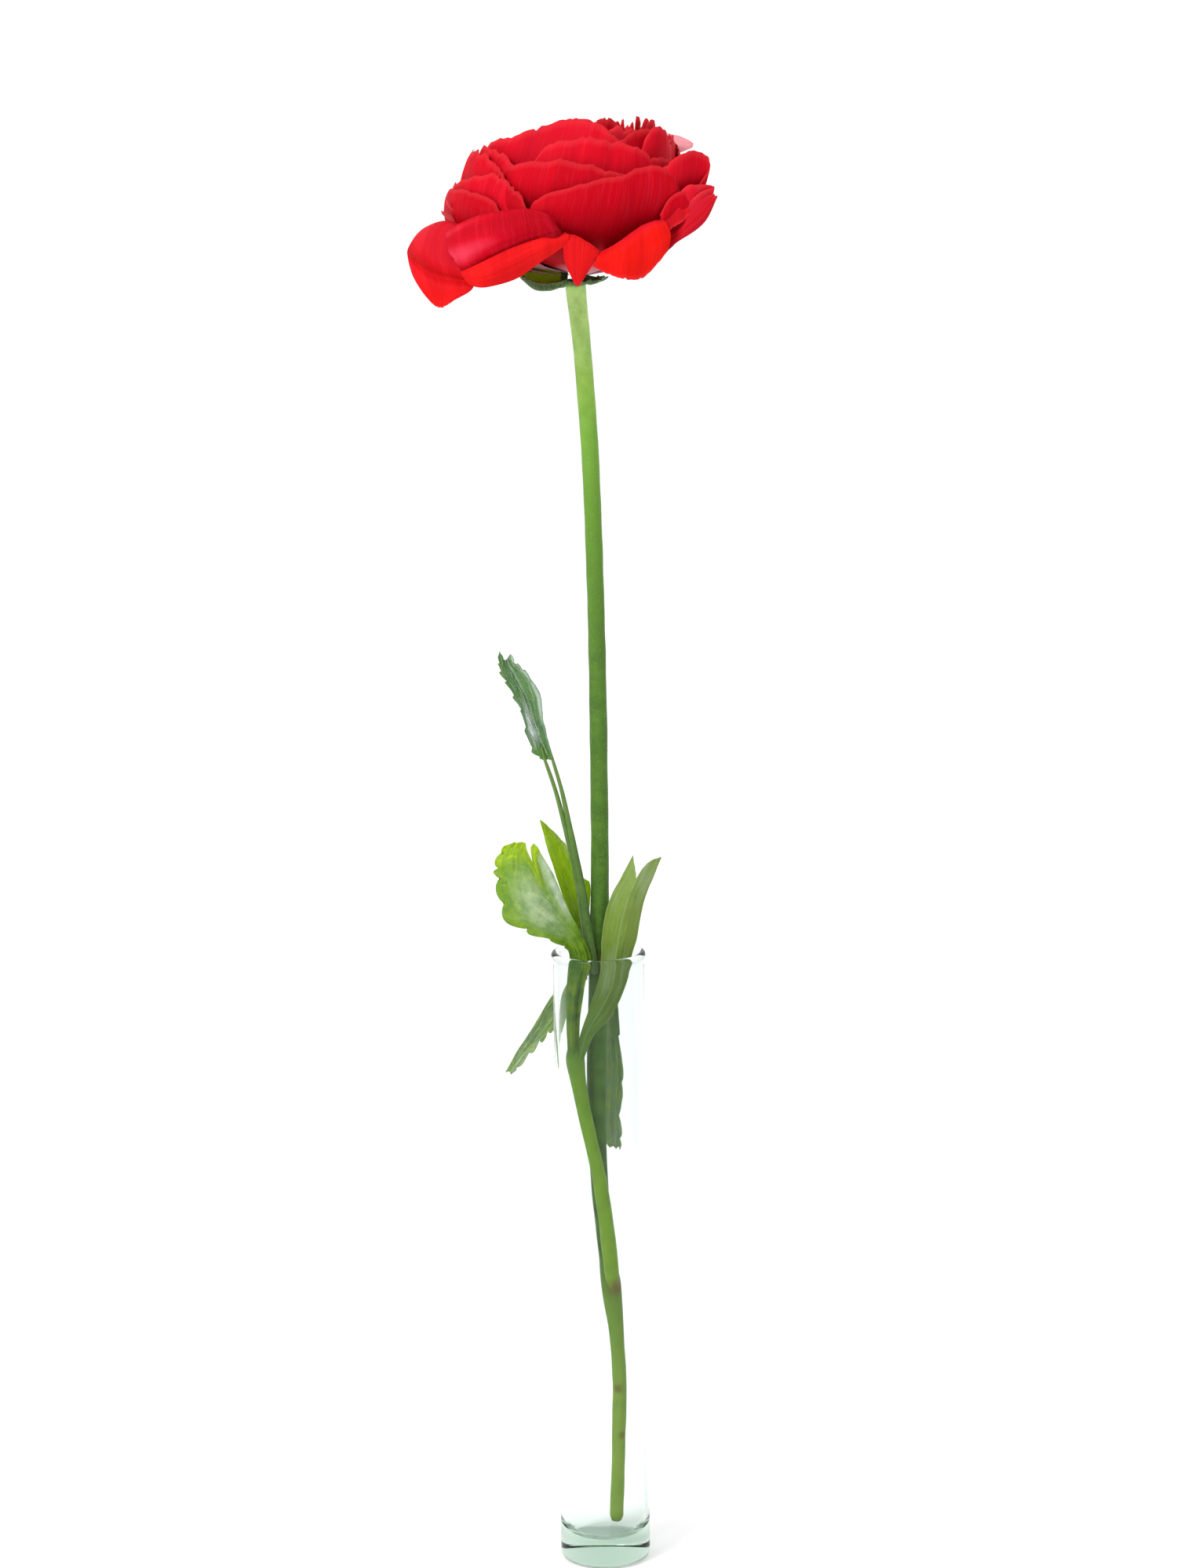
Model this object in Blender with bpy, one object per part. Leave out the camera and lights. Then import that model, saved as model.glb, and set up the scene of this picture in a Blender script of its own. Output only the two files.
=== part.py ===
"""A cut ranunculus flower standing in a clear glass tube vase.

Lengths below are in millimetres and become metres where a mesh is made. The origin is the
middle of the vase's foot, +Z is up, and the bloom faces up with its best side towards -Y.
Nodes: vase, stem, calyx, bloom and six leaves.
"""
import math
import random

import bmesh
import bpy
from mathutils import Vector

MM = 0.001
GAP = 0.3                      # clearance between separate pieces

# vase
VASE_HEIGHT = 200.0
VASE_RADIUS = 14.4
VASE_WALL = 1.5
VASE_FLOOR = 8.0
VASE_SIDES = 36

# stem
STEM_SIDES = 10
STEM_FOOT = VASE_FLOOR + GAP
STEM_TOP = 409.0

# bloom
BLOOM_BASE = Vector((-4.5, -0.5, 411.0))
BLOOM_LEAN = 0.17              # how far the flower's axis leans to +X for each mm of height
PETAL_THICKNESS = 0.75
HEART_PETALS = 13
GOLDEN_ANGLE = 137.5
ROOT_REACH = 5.0               # radius of the receptacle that the petals spring from
OUTER_LIFT = 2.0               # how high on it the outer, middle and heart petals spring
MIDDLE_LIFT = 8.0
HEART_LIFT = 14.0
SEPAL_THICKNESS = 0.9
LEAF_THICKNESS = 0.8


# ---------------------------------------------------------------- helpers

def clear_scene():
    for obj in list(bpy.data.objects):
        bpy.data.objects.remove(obj)


def material(name, colour, roughness, transmission=0.0):
    mat = bpy.data.materials.new(name)
    mat.use_nodes = True
    shader = mat.node_tree.nodes["Principled BSDF"]
    shader.inputs["Base Color"].default_value = (*colour, 1.0)
    shader.inputs["Roughness"].default_value = roughness
    shader.inputs["Metallic"].default_value = 0.0
    shader.inputs["Transmission Weight"].default_value = transmission
    return mat


def mesh_object(name, points, faces, mat=None):
    """Makes an object from points in millimetres."""
    mesh = bpy.data.meshes.new(name)
    mesh.from_pydata([Vector(p) * MM for p in points], [], faces)
    mesh.update()
    obj = bpy.data.objects.new(name, mesh)
    bpy.context.scene.collection.objects.link(obj)
    if mat:
        mesh.materials.append(mat)
    mesh.shade_smooth()
    return obj


def smooth_step(x):
    x = min(max(x, 0.0), 1.0)
    return x * x * (3.0 - 2.0 * x)


def through(points, t):
    """A point of the smooth curve through points, t running from 0 to 1 (Catmull-Rom)."""
    last = len(points) - 1
    s = min(max(t, 0.0), 1.0) * last
    i = min(int(s), last - 1)
    f = s - i
    p1, p2 = points[i], points[i + 1]
    p0 = points[i - 1] if i > 0 else p1 * 2 - p2
    p3 = points[i + 2] if i + 2 <= last else p2 * 2 - p1
    return (p1 * 2 + (p2 - p0) * f + (p0 * 2 - p1 * 5 + p2 * 4 - p3) * f * f
            + (p1 * 3 - p0 - p2 * 3 + p3) * f * f * f) * 0.5


def net_point(net, u, v):
    """A point of the smooth surface through a net, v along its rows, u from -1 to 1 across."""
    return through([through(row, (u + 1) / 2) for row in net], v)


def shell(name, place, rows, columns, thickness, mat=None):
    """A thin closed blade: place(u, v) gives its middle surface, u -1..1 and v 0..1."""
    grid = [[Vector(place(2 * j / (columns - 1) - 1, i / (rows - 1))) for j in range(columns)]
            for i in range(rows)]

    def normal(i, j):
        along = grid[min(i + 1, rows - 1)][j] - grid[max(i - 1, 0)][j]
        across = grid[i][min(j + 1, columns - 1)] - grid[i][max(j - 1, 0)]
        return along.cross(across).normalized()

    points = []
    for side in (0.5, -0.5):
        for i in range(rows):
            for j in range(columns):
                points.append(grid[i][j] + normal(i, j) * (side * thickness))
    under = rows * columns
    faces = []
    for i in range(rows - 1):
        for j in range(columns - 1):
            a, b = i * columns + j, i * columns + j + 1
            c, d = a + columns, b + columns
            for p, q, r in ((a, c, d), (a, d, b)):
                faces.append((p, q, r))
                faces.append((under + r, under + q, under + p))
    rim = ([j for j in range(columns)]
           + [i * columns + columns - 1 for i in range(1, rows)]
           + [(rows - 1) * columns + j for j in range(columns - 2, -1, -1)]
           + [i * columns for i in range(rows - 2, 0, -1)])
    for a, b in zip(rim, rim[1:] + rim[:1]):
        faces.append((a, b, under + b))
        faces.append((a, under + b, under + a))
    return mesh_object(name, points, faces, mat)


def tube(name, route, radii, steps, sides, mat=None):
    """A closed tube with flat ends along the smooth curve through route."""
    centres = [through(route, i / (steps - 1)) for i in range(steps)]
    sizes = [through([Vector((r, 0, 0)) for r in radii], i / (steps - 1)).x
             for i in range(steps)]
    points = []
    for i, centre in enumerate(centres):
        ahead = centres[min(i + 1, steps - 1)] - centres[max(i - 1, 0)]
        if i in (0, steps - 1):
            ahead = Vector((0, 0, 1))
        side = ahead.cross(Vector((0, 1, 0))).normalized()
        front = side.cross(ahead).normalized()
        for k in range(sides):
            turn = 2 * math.pi * k / sides
            points.append(centre + (side * math.cos(turn) + front * math.sin(turn)) * sizes[i])
    faces = []
    for i in range(steps - 1):
        for k in range(sides):
            a, b = i * sides + k, i * sides + (k + 1) % sides
            faces.append((a, b, b + sides, a + sides))
    faces.append(tuple(reversed(range(sides))))
    faces.append(tuple(range((steps - 1) * sides, steps * sides)))
    return mesh_object(name, points, faces, mat)


def face_out(obj):
    work = bmesh.new()
    work.from_mesh(obj.data)
    bmesh.ops.recalc_face_normals(work, faces=work.faces)
    work.to_mesh(obj.data)
    work.free()


def join(name, pieces, mat, solver="EXACT"):
    """Fuses pieces into one body by one Boolean union on a collection, and removes them."""
    for piece in pieces:
        face_out(piece)
    body, rest = pieces[0], pieces[1:]
    group = bpy.data.collections.new(name + "_parts")
    for piece in rest:
        group.objects.link(piece)
    union = body.modifiers.new("union", "BOOLEAN")
    union.operation = "UNION"
    union.operand_type = "COLLECTION"
    union.collection = group
    union.solver = solver
    bpy.context.view_layer.update()
    mesh = bpy.data.meshes.new_from_object(body.evaluated_get(
        bpy.context.evaluated_depsgraph_get()))
    for piece in pieces:
        bpy.data.objects.remove(piece)
    bpy.data.collections.remove(group)
    joined = bpy.data.objects.new(name, mesh)
    bpy.context.scene.collection.objects.link(joined)
    mesh.materials.clear()
    mesh.materials.append(mat)
    keep_largest(joined)
    return joined


def keep_largest(obj):
    """Triangulates a union and keeps its largest body, without loose scraps."""
    work = bmesh.new()
    work.from_mesh(obj.data)
    bmesh.ops.triangulate(work, faces=work.faces)
    left = set(work.verts)
    islands = []
    while left:
        start = left.pop()
        island, edge_of = {start}, [start]
        while edge_of:
            vert = edge_of.pop()
            for edge in vert.link_edges:
                other = edge.other_vert(vert)
                if other in left:
                    left.remove(other)
                    island.add(other)
                    edge_of.append(other)
        islands.append(island)
    islands.sort(key=len)
    for island in islands[:-1]:
        bmesh.ops.delete(work, geom=list(island), context="VERTS")
    work.to_mesh(obj.data)
    work.free()


# ---------------------------------------------------------------- vase

def arc(cx, cz, radius, start, end, steps):
    """Points of an arc in a turned profile, angles in degrees."""
    return [(cx + radius * math.cos(math.radians(start + (end - start) * i / steps)),
             cz + radius * math.sin(math.radians(start + (end - start) * i / steps)))
            for i in range(steps + 1)]


def make_vase(mat):
    """A drawn glass tube with a thick round-edged foot and a fire-polished bead at the rim."""
    inner = VASE_RADIUS - VASE_WALL
    bead = 1.15
    bead_z = VASE_HEIGHT - bead
    floor_round, foot_round = 1.9, 2.2
    profile = [(0.0, VASE_FLOOR)]
    profile += arc(inner - floor_round, VASE_FLOOR + floor_round, floor_round, -90, 0, 3)
    profile += [(inner, 60.0), (inner, 130.0), (inner, VASE_HEIGHT - 5.0)]
    profile += arc(inner + 0.85, bead_z, bead, 190, -30, 6)
    profile += [(VASE_RADIUS - 0.35, VASE_HEIGHT - 3.4), (VASE_RADIUS, VASE_HEIGHT - 5.5)]
    profile += [(VASE_RADIUS, 130.0), (VASE_RADIUS, 60.0)]
    profile += arc(VASE_RADIUS - foot_round, foot_round, foot_round, 0, -90, 3)
    profile.append((0.0, 0.0))
    mesh = bpy.data.meshes.new("vase")
    mesh.from_pydata([(r * MM, 0.0, z * MM) for r, z in profile],
                     [(i, i + 1) for i in range(len(profile) - 1)], [])
    vase = bpy.data.objects.new("vase", mesh)
    bpy.context.scene.collection.objects.link(vase)
    mesh.materials.append(mat)
    turn = vase.modifiers.new("turn", "SCREW")
    turn.steps = turn.render_steps = VASE_SIDES
    turn.use_merge_vertices = True
    turn.merge_threshold = 0.00001
    turn.use_smooth_shade = True
    return vase


# ---------------------------------------------------------------- stem

def make_stem(mat):
    """The flower stalk from its cut end to the bloom, and the side shoot that forks off it."""
    stalk_route = [Vector(p) for p in (
        (3.7, 8.6, STEM_FOOT), (4.4, 8.2, 26), (4.9, 7.6, 40), (5.2, 7.0, 56), (4.4, 6.2, 72),
        (2.9, 5.2, 88), (1.4, 4.8, 100), (-0.2, 4.4, 118), (-1.2, 3.9, 140),
        (-1.0, 3.4, 162), (-0.3, 2.9, 184), (0.5, 2.4, 206), (0.9, 1.9, 230),
        (0.9, 1.4, 262), (0.8, 1.0, 294), (0.3, 0.6, 325), (-0.4, 0.2, 352),
        (-1.4, -0.1, 372), (-2.5, -0.3, 388), (-3.6, -0.4, 400), (-4.5, -0.5, STEM_TOP))]
    stalk_radii = [2.3, 2.2, 2.3, 2.3, 2.4, 3.2, 2.5, 2.7, 3.0, 3.1, 3.1, 3.0, 2.8,
                   2.75, 2.7, 2.65, 2.65, 2.7, 2.75, 2.9, 3.2]
    stalk = tube("stalk", stalk_route, stalk_radii, 41, STEM_SIDES)
    shoot_route = [Vector(p) for p in (
        (3.0, 4.9, 87), (2.7, 1.9, 98), (1.6, -0.4, 110), (-0.2, -1.9, 124),
        (-2.7, -2.4, 137), (-5.2, -2.3, 149), (-6.9, -2.2, 159), (-7.6, -2.2, 167))]
    shoot_radii = [1.6, 2.1, 2.35, 2.2, 2.1, 2.2, 2.4, 2.6]
    shoot = tube("shoot", shoot_route, shoot_radii, 15, STEM_SIDES)
    return join("stem", [stalk, shoot], mat, solver="EXACT")


# ---------------------------------------------------------------- calyx

# azimuth, length, half width, angle at the root and at the tip (degrees above level), and
# how much the right edge stands above the left one
SEPALS = [(-158, 16.5, 6.4, -24, 36, -0.38), (-86, 9.5, 4.2, -30, -40, 0.0),
          (-28, 11.5, 5.0, -30, 38, 0.2), (42, 14.0, 5.6, -25, 10, 0.0),
          (118, 14.0, 5.8, -30, 15, 0.0)]


def sepal_point(sepal, u, v):
    """A boat-shaped sepal bent back below the petals, its edges curled up."""
    azimuth, length, half, root_angle, tip_angle, tilt = sepal
    turn = math.radians(azimuth)
    outward = Vector((math.cos(turn), math.sin(turn), 0))
    sideways = Vector((-math.sin(turn), math.cos(turn), 0))
    reach, height, steps = 3.2, -0.9, 8
    for k in range(steps):
        angle = math.radians(root_angle + (tip_angle - root_angle) * v * (k + 0.5) / steps)
        reach += length * v / steps * math.cos(angle)
        height += length * v / steps * math.sin(angle)
    width = half * (0.42 + 0.58 * math.sin(math.pi * min(v * 1.15 + 0.1, 1.0))) \
        * (1.0 - 0.45 * v ** 4)
    curl = width * (0.42 * u * u + tilt * u) * smooth_step(v * 2.2)
    return BLOOM_BASE + outward * reach + sideways * (width * u) + Vector((0, 0, height + curl))


def make_calyx(mat):
    """Five sepals on a small collar that sits on the top of the stalk."""
    collar = tube("collar", [BLOOM_BASE + Vector((0, 0, z)) for z in
                             (STEM_TOP + GAP - BLOOM_BASE.z, -0.9, -GAP / 2)],
                  [3.1, 4.0, 4.2], 3, 10)
    pieces = [collar]
    for sepal in SEPALS:
        pieces.append(shell("sepal", lambda u, v, s=sepal: sepal_point(s, u, v), 6, 5,
                            SEPAL_THICKNESS))
    return join("calyx", pieces, mat, solver="MANIFOLD")


# ---------------------------------------------------------------- bloom

# Cupped petals: azimuth, half spread (degrees), radius of the bulge, radius and height of the
# rim, how much the rim drops at its corners, and how much it slants up to the right.
OUTER_CUPS = [
    (-84, 43, 38.5, 36, 35, 3.0, 5.0), (-40, 27, 35.5, 38.5, 39, 6.0, 2.0),
    (-128, 38, 34.5, 33, 38.5, 5.0, 0.0), (-165, 27, 37.5, 38, 39, 5.0, -1.0),
    (-160, 30, 41, 42, 31, 4.0, 3.0), (-178, 9, 43, 46, 25, 6.0, 0.0),
    (173, 10, 42, 44, 29, 6.0, 0.0), (-20, 14, 38, 39.5, 30, 9.0, 0.0),
    (-7, 17, 31, 29, 44, 6.0, 0.0), (10, 25, 36, 36, 31, 5.0, 0.0),
    (150, 28, 39, 41, 33, 5.0, 0.0), (112, 36, 38, 39, 35, 4.0, 0.0),
    (72, 38, 39, 38, 33, 4.0, 0.0), (38, 30, 37, 38, 35, 5.0, 0.0)]
MIDDLE_CUPS = [
    (-90, 44, 30, 27.5, 43.5, 5.0, -1.0), (-120, 58, 27.5, 21.5, 49.5, 7.0, 1.0),
    (-38, 40, 31, 29, 42, 6.0, 0.0), (165, 42, 31, 28, 43, 5.0, 0.0),
    (115, 44, 31, 28, 44, 5.0, 0.0), (60, 44, 30, 27, 43, 5.0, 0.0),
    (15, 40, 31, 28, 43, 5.0, 0.0)]


def cup_point(cup, lift, u, v):
    """A petal wrapped round the flower's axis: it leaves the receptacle low, bulges and
    closes in again towards its rim."""
    azimuth, spread, bulge, rim, rim_height, drop, slant = cup
    v = v * (1.0 - 0.10 * abs(u) ** 3)
    foot = 1.5 + lift
    top = rim_height - drop * abs(u) ** 2.4 + slant * u
    a, b, c, d = (1 - v) ** 3, 3 * v * (1 - v) ** 2, 3 * v * v * (1 - v), v ** 3
    reach = a * ROOT_REACH + b * (0.80 * bulge) + c * (1.14 * bulge) + d * rim
    height = a * foot + b * (foot + 0.02 * top) + c * (0.62 * top) + d * top
    turn = math.radians(azimuth + spread * u * (0.35 + 0.65 * smooth_step(v * 1.8)))
    return BLOOM_BASE + Vector((reach * math.cos(turn) + BLOOM_LEAN * height,
                                reach * math.sin(turn), height))


# Petals that have bent back: azimuth, half spread, greatest height, reach and tip height.
BENT_CUPS = [(128, 24, 17, 47, 6), (80, 26, 15, 45, 2), (28, 22, 18, 44, 10)]


def bent_point(petal, u, v):
    azimuth, spread, crest, reach_tip, tip = petal
    v = v * (1.0 - 0.12 * abs(u) ** 3)
    a, b, c, d = (1 - v) ** 3, 3 * v * (1 - v) ** 2, 3 * v * v * (1 - v), v ** 3
    reach = a * ROOT_REACH + b * 20.0 + c * (reach_tip - 2.0) + d * reach_tip
    height = a * 1.0 + b * 3.0 + c * (crest * 1.7) + d * tip - 3.0 * u * u * v
    turn = math.radians(azimuth + spread * u * (0.6 + 0.4 * smooth_step(v * 2.0)))
    return BLOOM_BASE + Vector((reach * math.cos(turn) + BLOOM_LEAN * height,
                                reach * math.sin(turn), height))


# Petals bent back in their own ways at the front: rows from the root to the tip, each row
# from the left edge to the right edge, relative to the foot of the bloom.
FRONT_NETS = {
    "hanging_left": [
        [(-4.4, 3.1, 3.4), (-4.6, -0.4, 2.6), (-3.2, -3.4, 2.7)],
        [(-24, 3, 15), (-23, -8, 13), (-20, -15, 11)],
        [(-40, -3, 17.5), (-38, -13, 19.8), (-32, -20, 16)],
        [(-49.5, -11, 10), (-46, -21, 10), (-34.5, -27, 8)],
        [(-47.5, -19, 0), (-42, -26, -5.6), (-33, -28, 0)]],
    "folded_left": [
        [(-4.5, -3, 5.5), (-3, -4.5, 4.6), (-2, -5, 3.8), (-1, -5.5, 2.8)],
        [(-18, -14, 18), (-14, -24, 18.5), (-4, -36, 16.7), (-3.5, -37.5, 13)],
        [(-28, -16, 21.5), (-24, -26, 18.5), (-17.5, -38, 12.5), (-12.8, -41.5, 7.2)],
        [(-37, -20, 17.5), (-33, -29, 13.5), (-25, -38.5, 9), (-19, -43, 2.6)],
        [(-41, -21, 12), (-38.5, -27, 9), (-33.5, -34, 6), (-31, -38.5, 1.4)]],
    "folded_tip": [
        [(0, -5, 3.6), (1.5, -5, 3.5), (3, -5, 3.6)],
        [(-3, -34, 14.5), (2, -35, 13.5), (7, -34, 10)],
        [(-3.6, -38.8, 16.0), (1.5, -39.3, 14.5), (7, -38, 11)],
        [(-2.2, -39.8, 8.8), (0.9, -40.6, 8), (4.2, -39.6, 6.8)],
        [(-0.2, -39, 1.3), (0.7, -39, 0.9), (1.6, -39, 1.3)]],
    "rolled_right": [
        [(2, -5, 3.4), (3.5, -4, 3.4), (4.5, -3, 3.4), (5, -1, 3.4)],
        [(9, -29, 10), (15, -28, 12.5), (21, -25, 15), (25, -19, 17)],
        [(8.3, -40.5, 11.7), (14, -39.5, 14.5), (22, -36, 19), (28.5, -33, 20.5)],
        [(8.4, -42.5, 9), (15, -43.5, 9), (24, -40.5, 11.5), (30.5, -35.5, 17)],
        [(6, -42, 6.5), (13, -42.5, 3.6), (21, -40, 3.9), (28.5, -36, 12)]],
    "pointed_right": [
        [(5, -3, 2.0), (6, -1, 1.8), (6, 1, 2.0)],
        [(24, -21, 10.5), (26, -16, 13), (28, -9, 17)],
        [(34, -25, 14.5), (36, -20, 19), (38, -13, 24)],
        [(41.5, -20, 22), (42.5, -18, 24.5), (43, -16, 27)]],
}


def make_bloom(mat):
    """The double bloom: petals in layers round a small core, fused in one body."""
    draw = random.Random(7)
    core_route = [Vector((BLOOM_LEAN * z, 0, z)) + BLOOM_BASE
                  for z in (GAP / 2, 1.2, 8, 20, 32, 41, 44.5)]
    pieces = [tube("core", core_route, [4.2, 6.0, 8.2, 9.5, 9.0, 6.0, 1.6], 9, 12)]
    for net in FRONT_NETS.values():
        rows = [[BLOOM_BASE + Vector(p) for p in row] for row in net]
        pieces.append(shell("petal", lambda u, v, r=rows: net_point(r, u, v), 8, 5,
                            PETAL_THICKNESS))
    for petal in BENT_CUPS:
        pieces.append(shell("petal", lambda u, v, p=petal: bent_point(p, u, v), 6, 5,
                            PETAL_THICKNESS))
    for i, cup in enumerate(OUTER_CUPS):
        lift = OUTER_LIFT + 0.25 * i
        pieces.append(shell("petal", lambda u, v, c=cup, k=lift: cup_point(c, k, u, v), 6, 5,
                            PETAL_THICKNESS))
    for i, cup in enumerate(MIDDLE_CUPS):
        lift = MIDDLE_LIFT + 0.3 * i
        pieces.append(shell("petal", lambda u, v, c=cup, k=lift: cup_point(c, k, u, v), 5, 5,
                            PETAL_THICKNESS))
    for i in range(HEART_PETALS):
        t = i / (HEART_PETALS - 1)
        cup = (40 + GOLDEN_ANGLE * i, 42 - 4 * t, 25 - 12 * t, 23 - 14 * t,
               46 + 3.5 * t + draw.uniform(-0.8, 0.8), 5.0, draw.uniform(-1.5, 1.5))
        lift = HEART_LIFT + 12.0 * t
        pieces.append(shell("petal", lambda u, v, c=cup, k=lift: cup_point(c, k, u, v), 4, 4,
                            PETAL_THICKNESS))
    return join("bloom", pieces, mat, solver="MANIFOLD")


# ---------------------------------------------------------------- leaves

def toothed(v, teeth, depth):
    """Narrows a leaf's edge between its teeth: the factor runs from 1 - depth up to 1."""
    phase = (v * teeth) % 1.0
    return 1.0 - depth * (1.0 - phase if phase > 0.35 else phase / 0.35 * 0.65)


def read_line(points, u):
    """Reads the broken line through points of (u, value), left to right."""
    for (u0, a), (u1, b) in zip(points, points[1:]):
        if u <= u1:
            return a + (b - a) * max(u - u0, 0.0) / (u1 - u0)
    return points[-1][1]


LEAF_NETS = {
    # crosses in front of the stalk from the fork and out of the mouth to the right
    "leaf_right_folded": [
        [(-7.0, -2.3, 168), (-6.2, -3.4, 168), (-5.4, -2.6, 168)],
        [(-4.6, -3.2, 176), (-3.4, -4.6, 175), (-2.4, -4.4, 173.5)],
        [(-2.0, -3.0, 184), (0.6, -5.4, 182), (3.4, -5.2, 180)],
        [(0.8, -2.6, 192), (4.2, -5.6, 190), (7.4, -4.8, 189)],
        [(1.4, -2.4, 202), (6.2, -6.2, 201), (10.6, -4.0, 201)],
        [(2.6, -3.0, 212), (8.6, -7.2, 212), (13.6, -3.2, 211.5)],
        [(5.6, -3.6, 221), (11.0, -7.4, 221), (15.4, -3.0, 220)],
        [(11.2, -4.2, 230.5), (13.4, -6.8, 229), (19.6, -3.2, 229.5)]],
    # broad lobed blade that leans out of the mouth to the left
    "leaf_left_lobed": [
        [(-9.6, -2.2, 168), (-8.9, -3.2, 168), (-8.2, -2.6, 168)],
        [(-10.2, -2.0, 178), (-8.2, -4.0, 178), (-6.0, -3.4, 178)],
        [(-10.6, -2.0, 190), (-7.4, -4.8, 190), (-4.4, -4.2, 190)],
        [(-11.0, -3.2, 200), (-6.4, -6.0, 200), (-2.6, -4.6, 200)],
        [(-16.8, -5.4, 204.5), (-9.8, -7.0, 207.5), (-4.8, -4.8, 207.5)],
        [(-24.4, -7.2, 208), (-15.4, -7.6, 214), (-8.0, -4.6, 214)],
        [(-30.4, -8.2, 216), (-21.4, -7.4, 221.5), (-11.6, -4.0, 221.5)],
        [(-32.8, -8.6, 229), (-25.4, -7.8, 231.5), (-15.4, -4.4, 230)],
        [(-29.4, -8.2, 238), (-24.8, -7.6, 238.5), (-19.4, -5.2, 237)]],
    # yellow-green blade behind the two thin stalks
    "leaf_back_yellow": [
        [(-4.7, 1.0, 190), (-3.95, 2.8, 190), (-4.6, 4.6, 190)],
        [(-7.2, 2.4, 200), (-6.0, 4.4, 200), (-4.0, 6.2, 200)],
        [(-10.6, 3.4, 212), (-7.8, 5.4, 212), (-3.2, 7.0, 211)],
        [(-14.4, 4.0, 224), (-9.8, 5.8, 224), (-3.0, 7.2, 221)],
        [(-17.8, 4.2, 243), (-12.0, 5.6, 240), (-6.6, 7.0, 236)]],
    # hangs over the rim at the back and down outside the glass
    "leaf_outer_hanging": [
        [(-4.6, 7.4, 192), (-3.4, 8.4, 192), (-2.2, 9.0, 192)],
        [(-6.4, 9.2, 199), (-4.6, 10.6, 199), (-2.6, 11.2, 199)],
        [(-10.4, 12.4, 203.5), (-7.0, 13.6, 203.6), (-4.0, 14.4, 203.2)],
        [(-15.6, 14.8, 196), (-12.0, 16.6, 194), (-8.4, 17.6, 191)],
        [(-18.6, 16.0, 184), (-16.6, 17.6, 179), (-13.6, 18.6, 175)],
        [(-23.6, 16.6, 173), (-21.6, 17.8, 168), (-18.8, 18.6, 164)],
        [(-30.6, 17.0, 157.5), (-29.6, 17.6, 156), (-28.4, 18.0, 155)]],
    # hangs down inside the glass behind the stalk
    "leaf_inside_hanging": [
        [(1.0, 7.4, 194), (2.8, 8.0, 194), (4.6, 7.4, 194)],
        [(-1.2, 9.0, 186), (2.6, 10.2, 186), (6.4, 8.4, 186)],
        [(-3.6, 10.0, 174), (2.4, 11.4, 174), (7.2, 8.8, 174)],
        [(-4.6, 10.2, 160), (2.2, 11.5, 160), (7.9, 8.6, 160)],
        [(-4.4, 10.4, 146), (1.8, 11.6, 146), (7.2, 9.2, 146)],
        [(-2.6, 11.0, 134), (2.0, 11.6, 133), (6.0, 10.0, 134)]],
    # dark glossy blade on two thin stalks
    "leaf_upper_dark": [
        [(-16.2, -2.4, 261.5), (-14.8, -1.4, 261), (-13.4, -2.0, 260.8)],
        [(-20.6, -3.2, 265), (-16.4, -0.6, 268), (-14.2, -2.6, 268)],
        [(-23.0, -3.8, 273), (-19.8, -0.4, 276), (-16.0, -3.4, 278)],
        [(-27.2, -3.6, 283), (-22.8, 0.2, 284), (-18.4, -3.2, 285)],
        [(-30.6, -2.8, 290.5), (-26.4, 0.4, 291), (-23.2, -2.4, 291)],
        [(-30.2, -2.2, 296), (-28.0, 0.0, 295.5), (-25.6, -1.6, 296)]],
}

# leaf: rows, columns, teeth on the left and the right edge and their depth, and the line of
# its end: how far along the leaf each place across it reaches
LEAF_CUTS = {
    "leaf_right_folded": (13, 9, (0, 0, 0.0),
                          [(-1, 0.96), (-0.75, 1.0), (0.0, 0.86), (0.6, 0.97), (1, 1.0)]),
    "leaf_left_lobed": (22, 13, (5, 6, 0.2),
                        [(-1, 0.94), (-0.67, 1.0), (-0.17, 0.99), (0.0, 0.84), (0.17, 0.99),
                         (1, 0.9)]),
    "leaf_back_yellow": (13, 9, (3, 4, 0.16),
                         [(-1, 0.95), (-0.75, 1.0), (-0.25, 0.93), (0, 0.9), (0.25, 0.94),
                          (0.75, 0.8), (1, 0.88)]),
    "leaf_outer_hanging": (25, 5, (6, 8, 0.42), [(-1, 0.97), (0, 1.0), (1, 0.94)]),
    "leaf_inside_hanging": (16, 7, (4, 5, 0.2),
                            [(-1, 0.8), (-0.5, 0.85), (0, 0.95), (0.5, 1.0), (1, 0.97)]),
    "leaf_upper_dark": (19, 7, (6, 6, 0.24),
                        [(-1, 0.92), (-0.67, 1.0), (0, 0.93), (0.33, 1.0), (1, 0.88)]),
}


def leaf_point(name, net, u, v):
    (left_teeth, right_teeth, depth), end_line = LEAF_CUTS[name][2:]
    v = v * (1.0 + (read_line(end_line, u) - 1.0) * smooth_step((v - 0.4) * 2.0))
    grown = smooth_step((v - 0.35) * 5.0)
    teeth = left_teeth if u < 0 else right_teeth
    if teeth:
        u = u * (1.0 - (1.0 - toothed(v, teeth, depth)) * grown * abs(u) ** 2)
    return net_point(net, u, v)


def make_leaf(name, mat):
    net = [[Vector(p) for p in row] for row in LEAF_NETS[name]]
    rows, columns = LEAF_CUTS[name][:2]
    blade = shell(name, lambda u, v: leaf_point(name, net, u, v), rows, columns,
                  LEAF_THICKNESS, mat)
    face_out(blade)
    return blade


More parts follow.
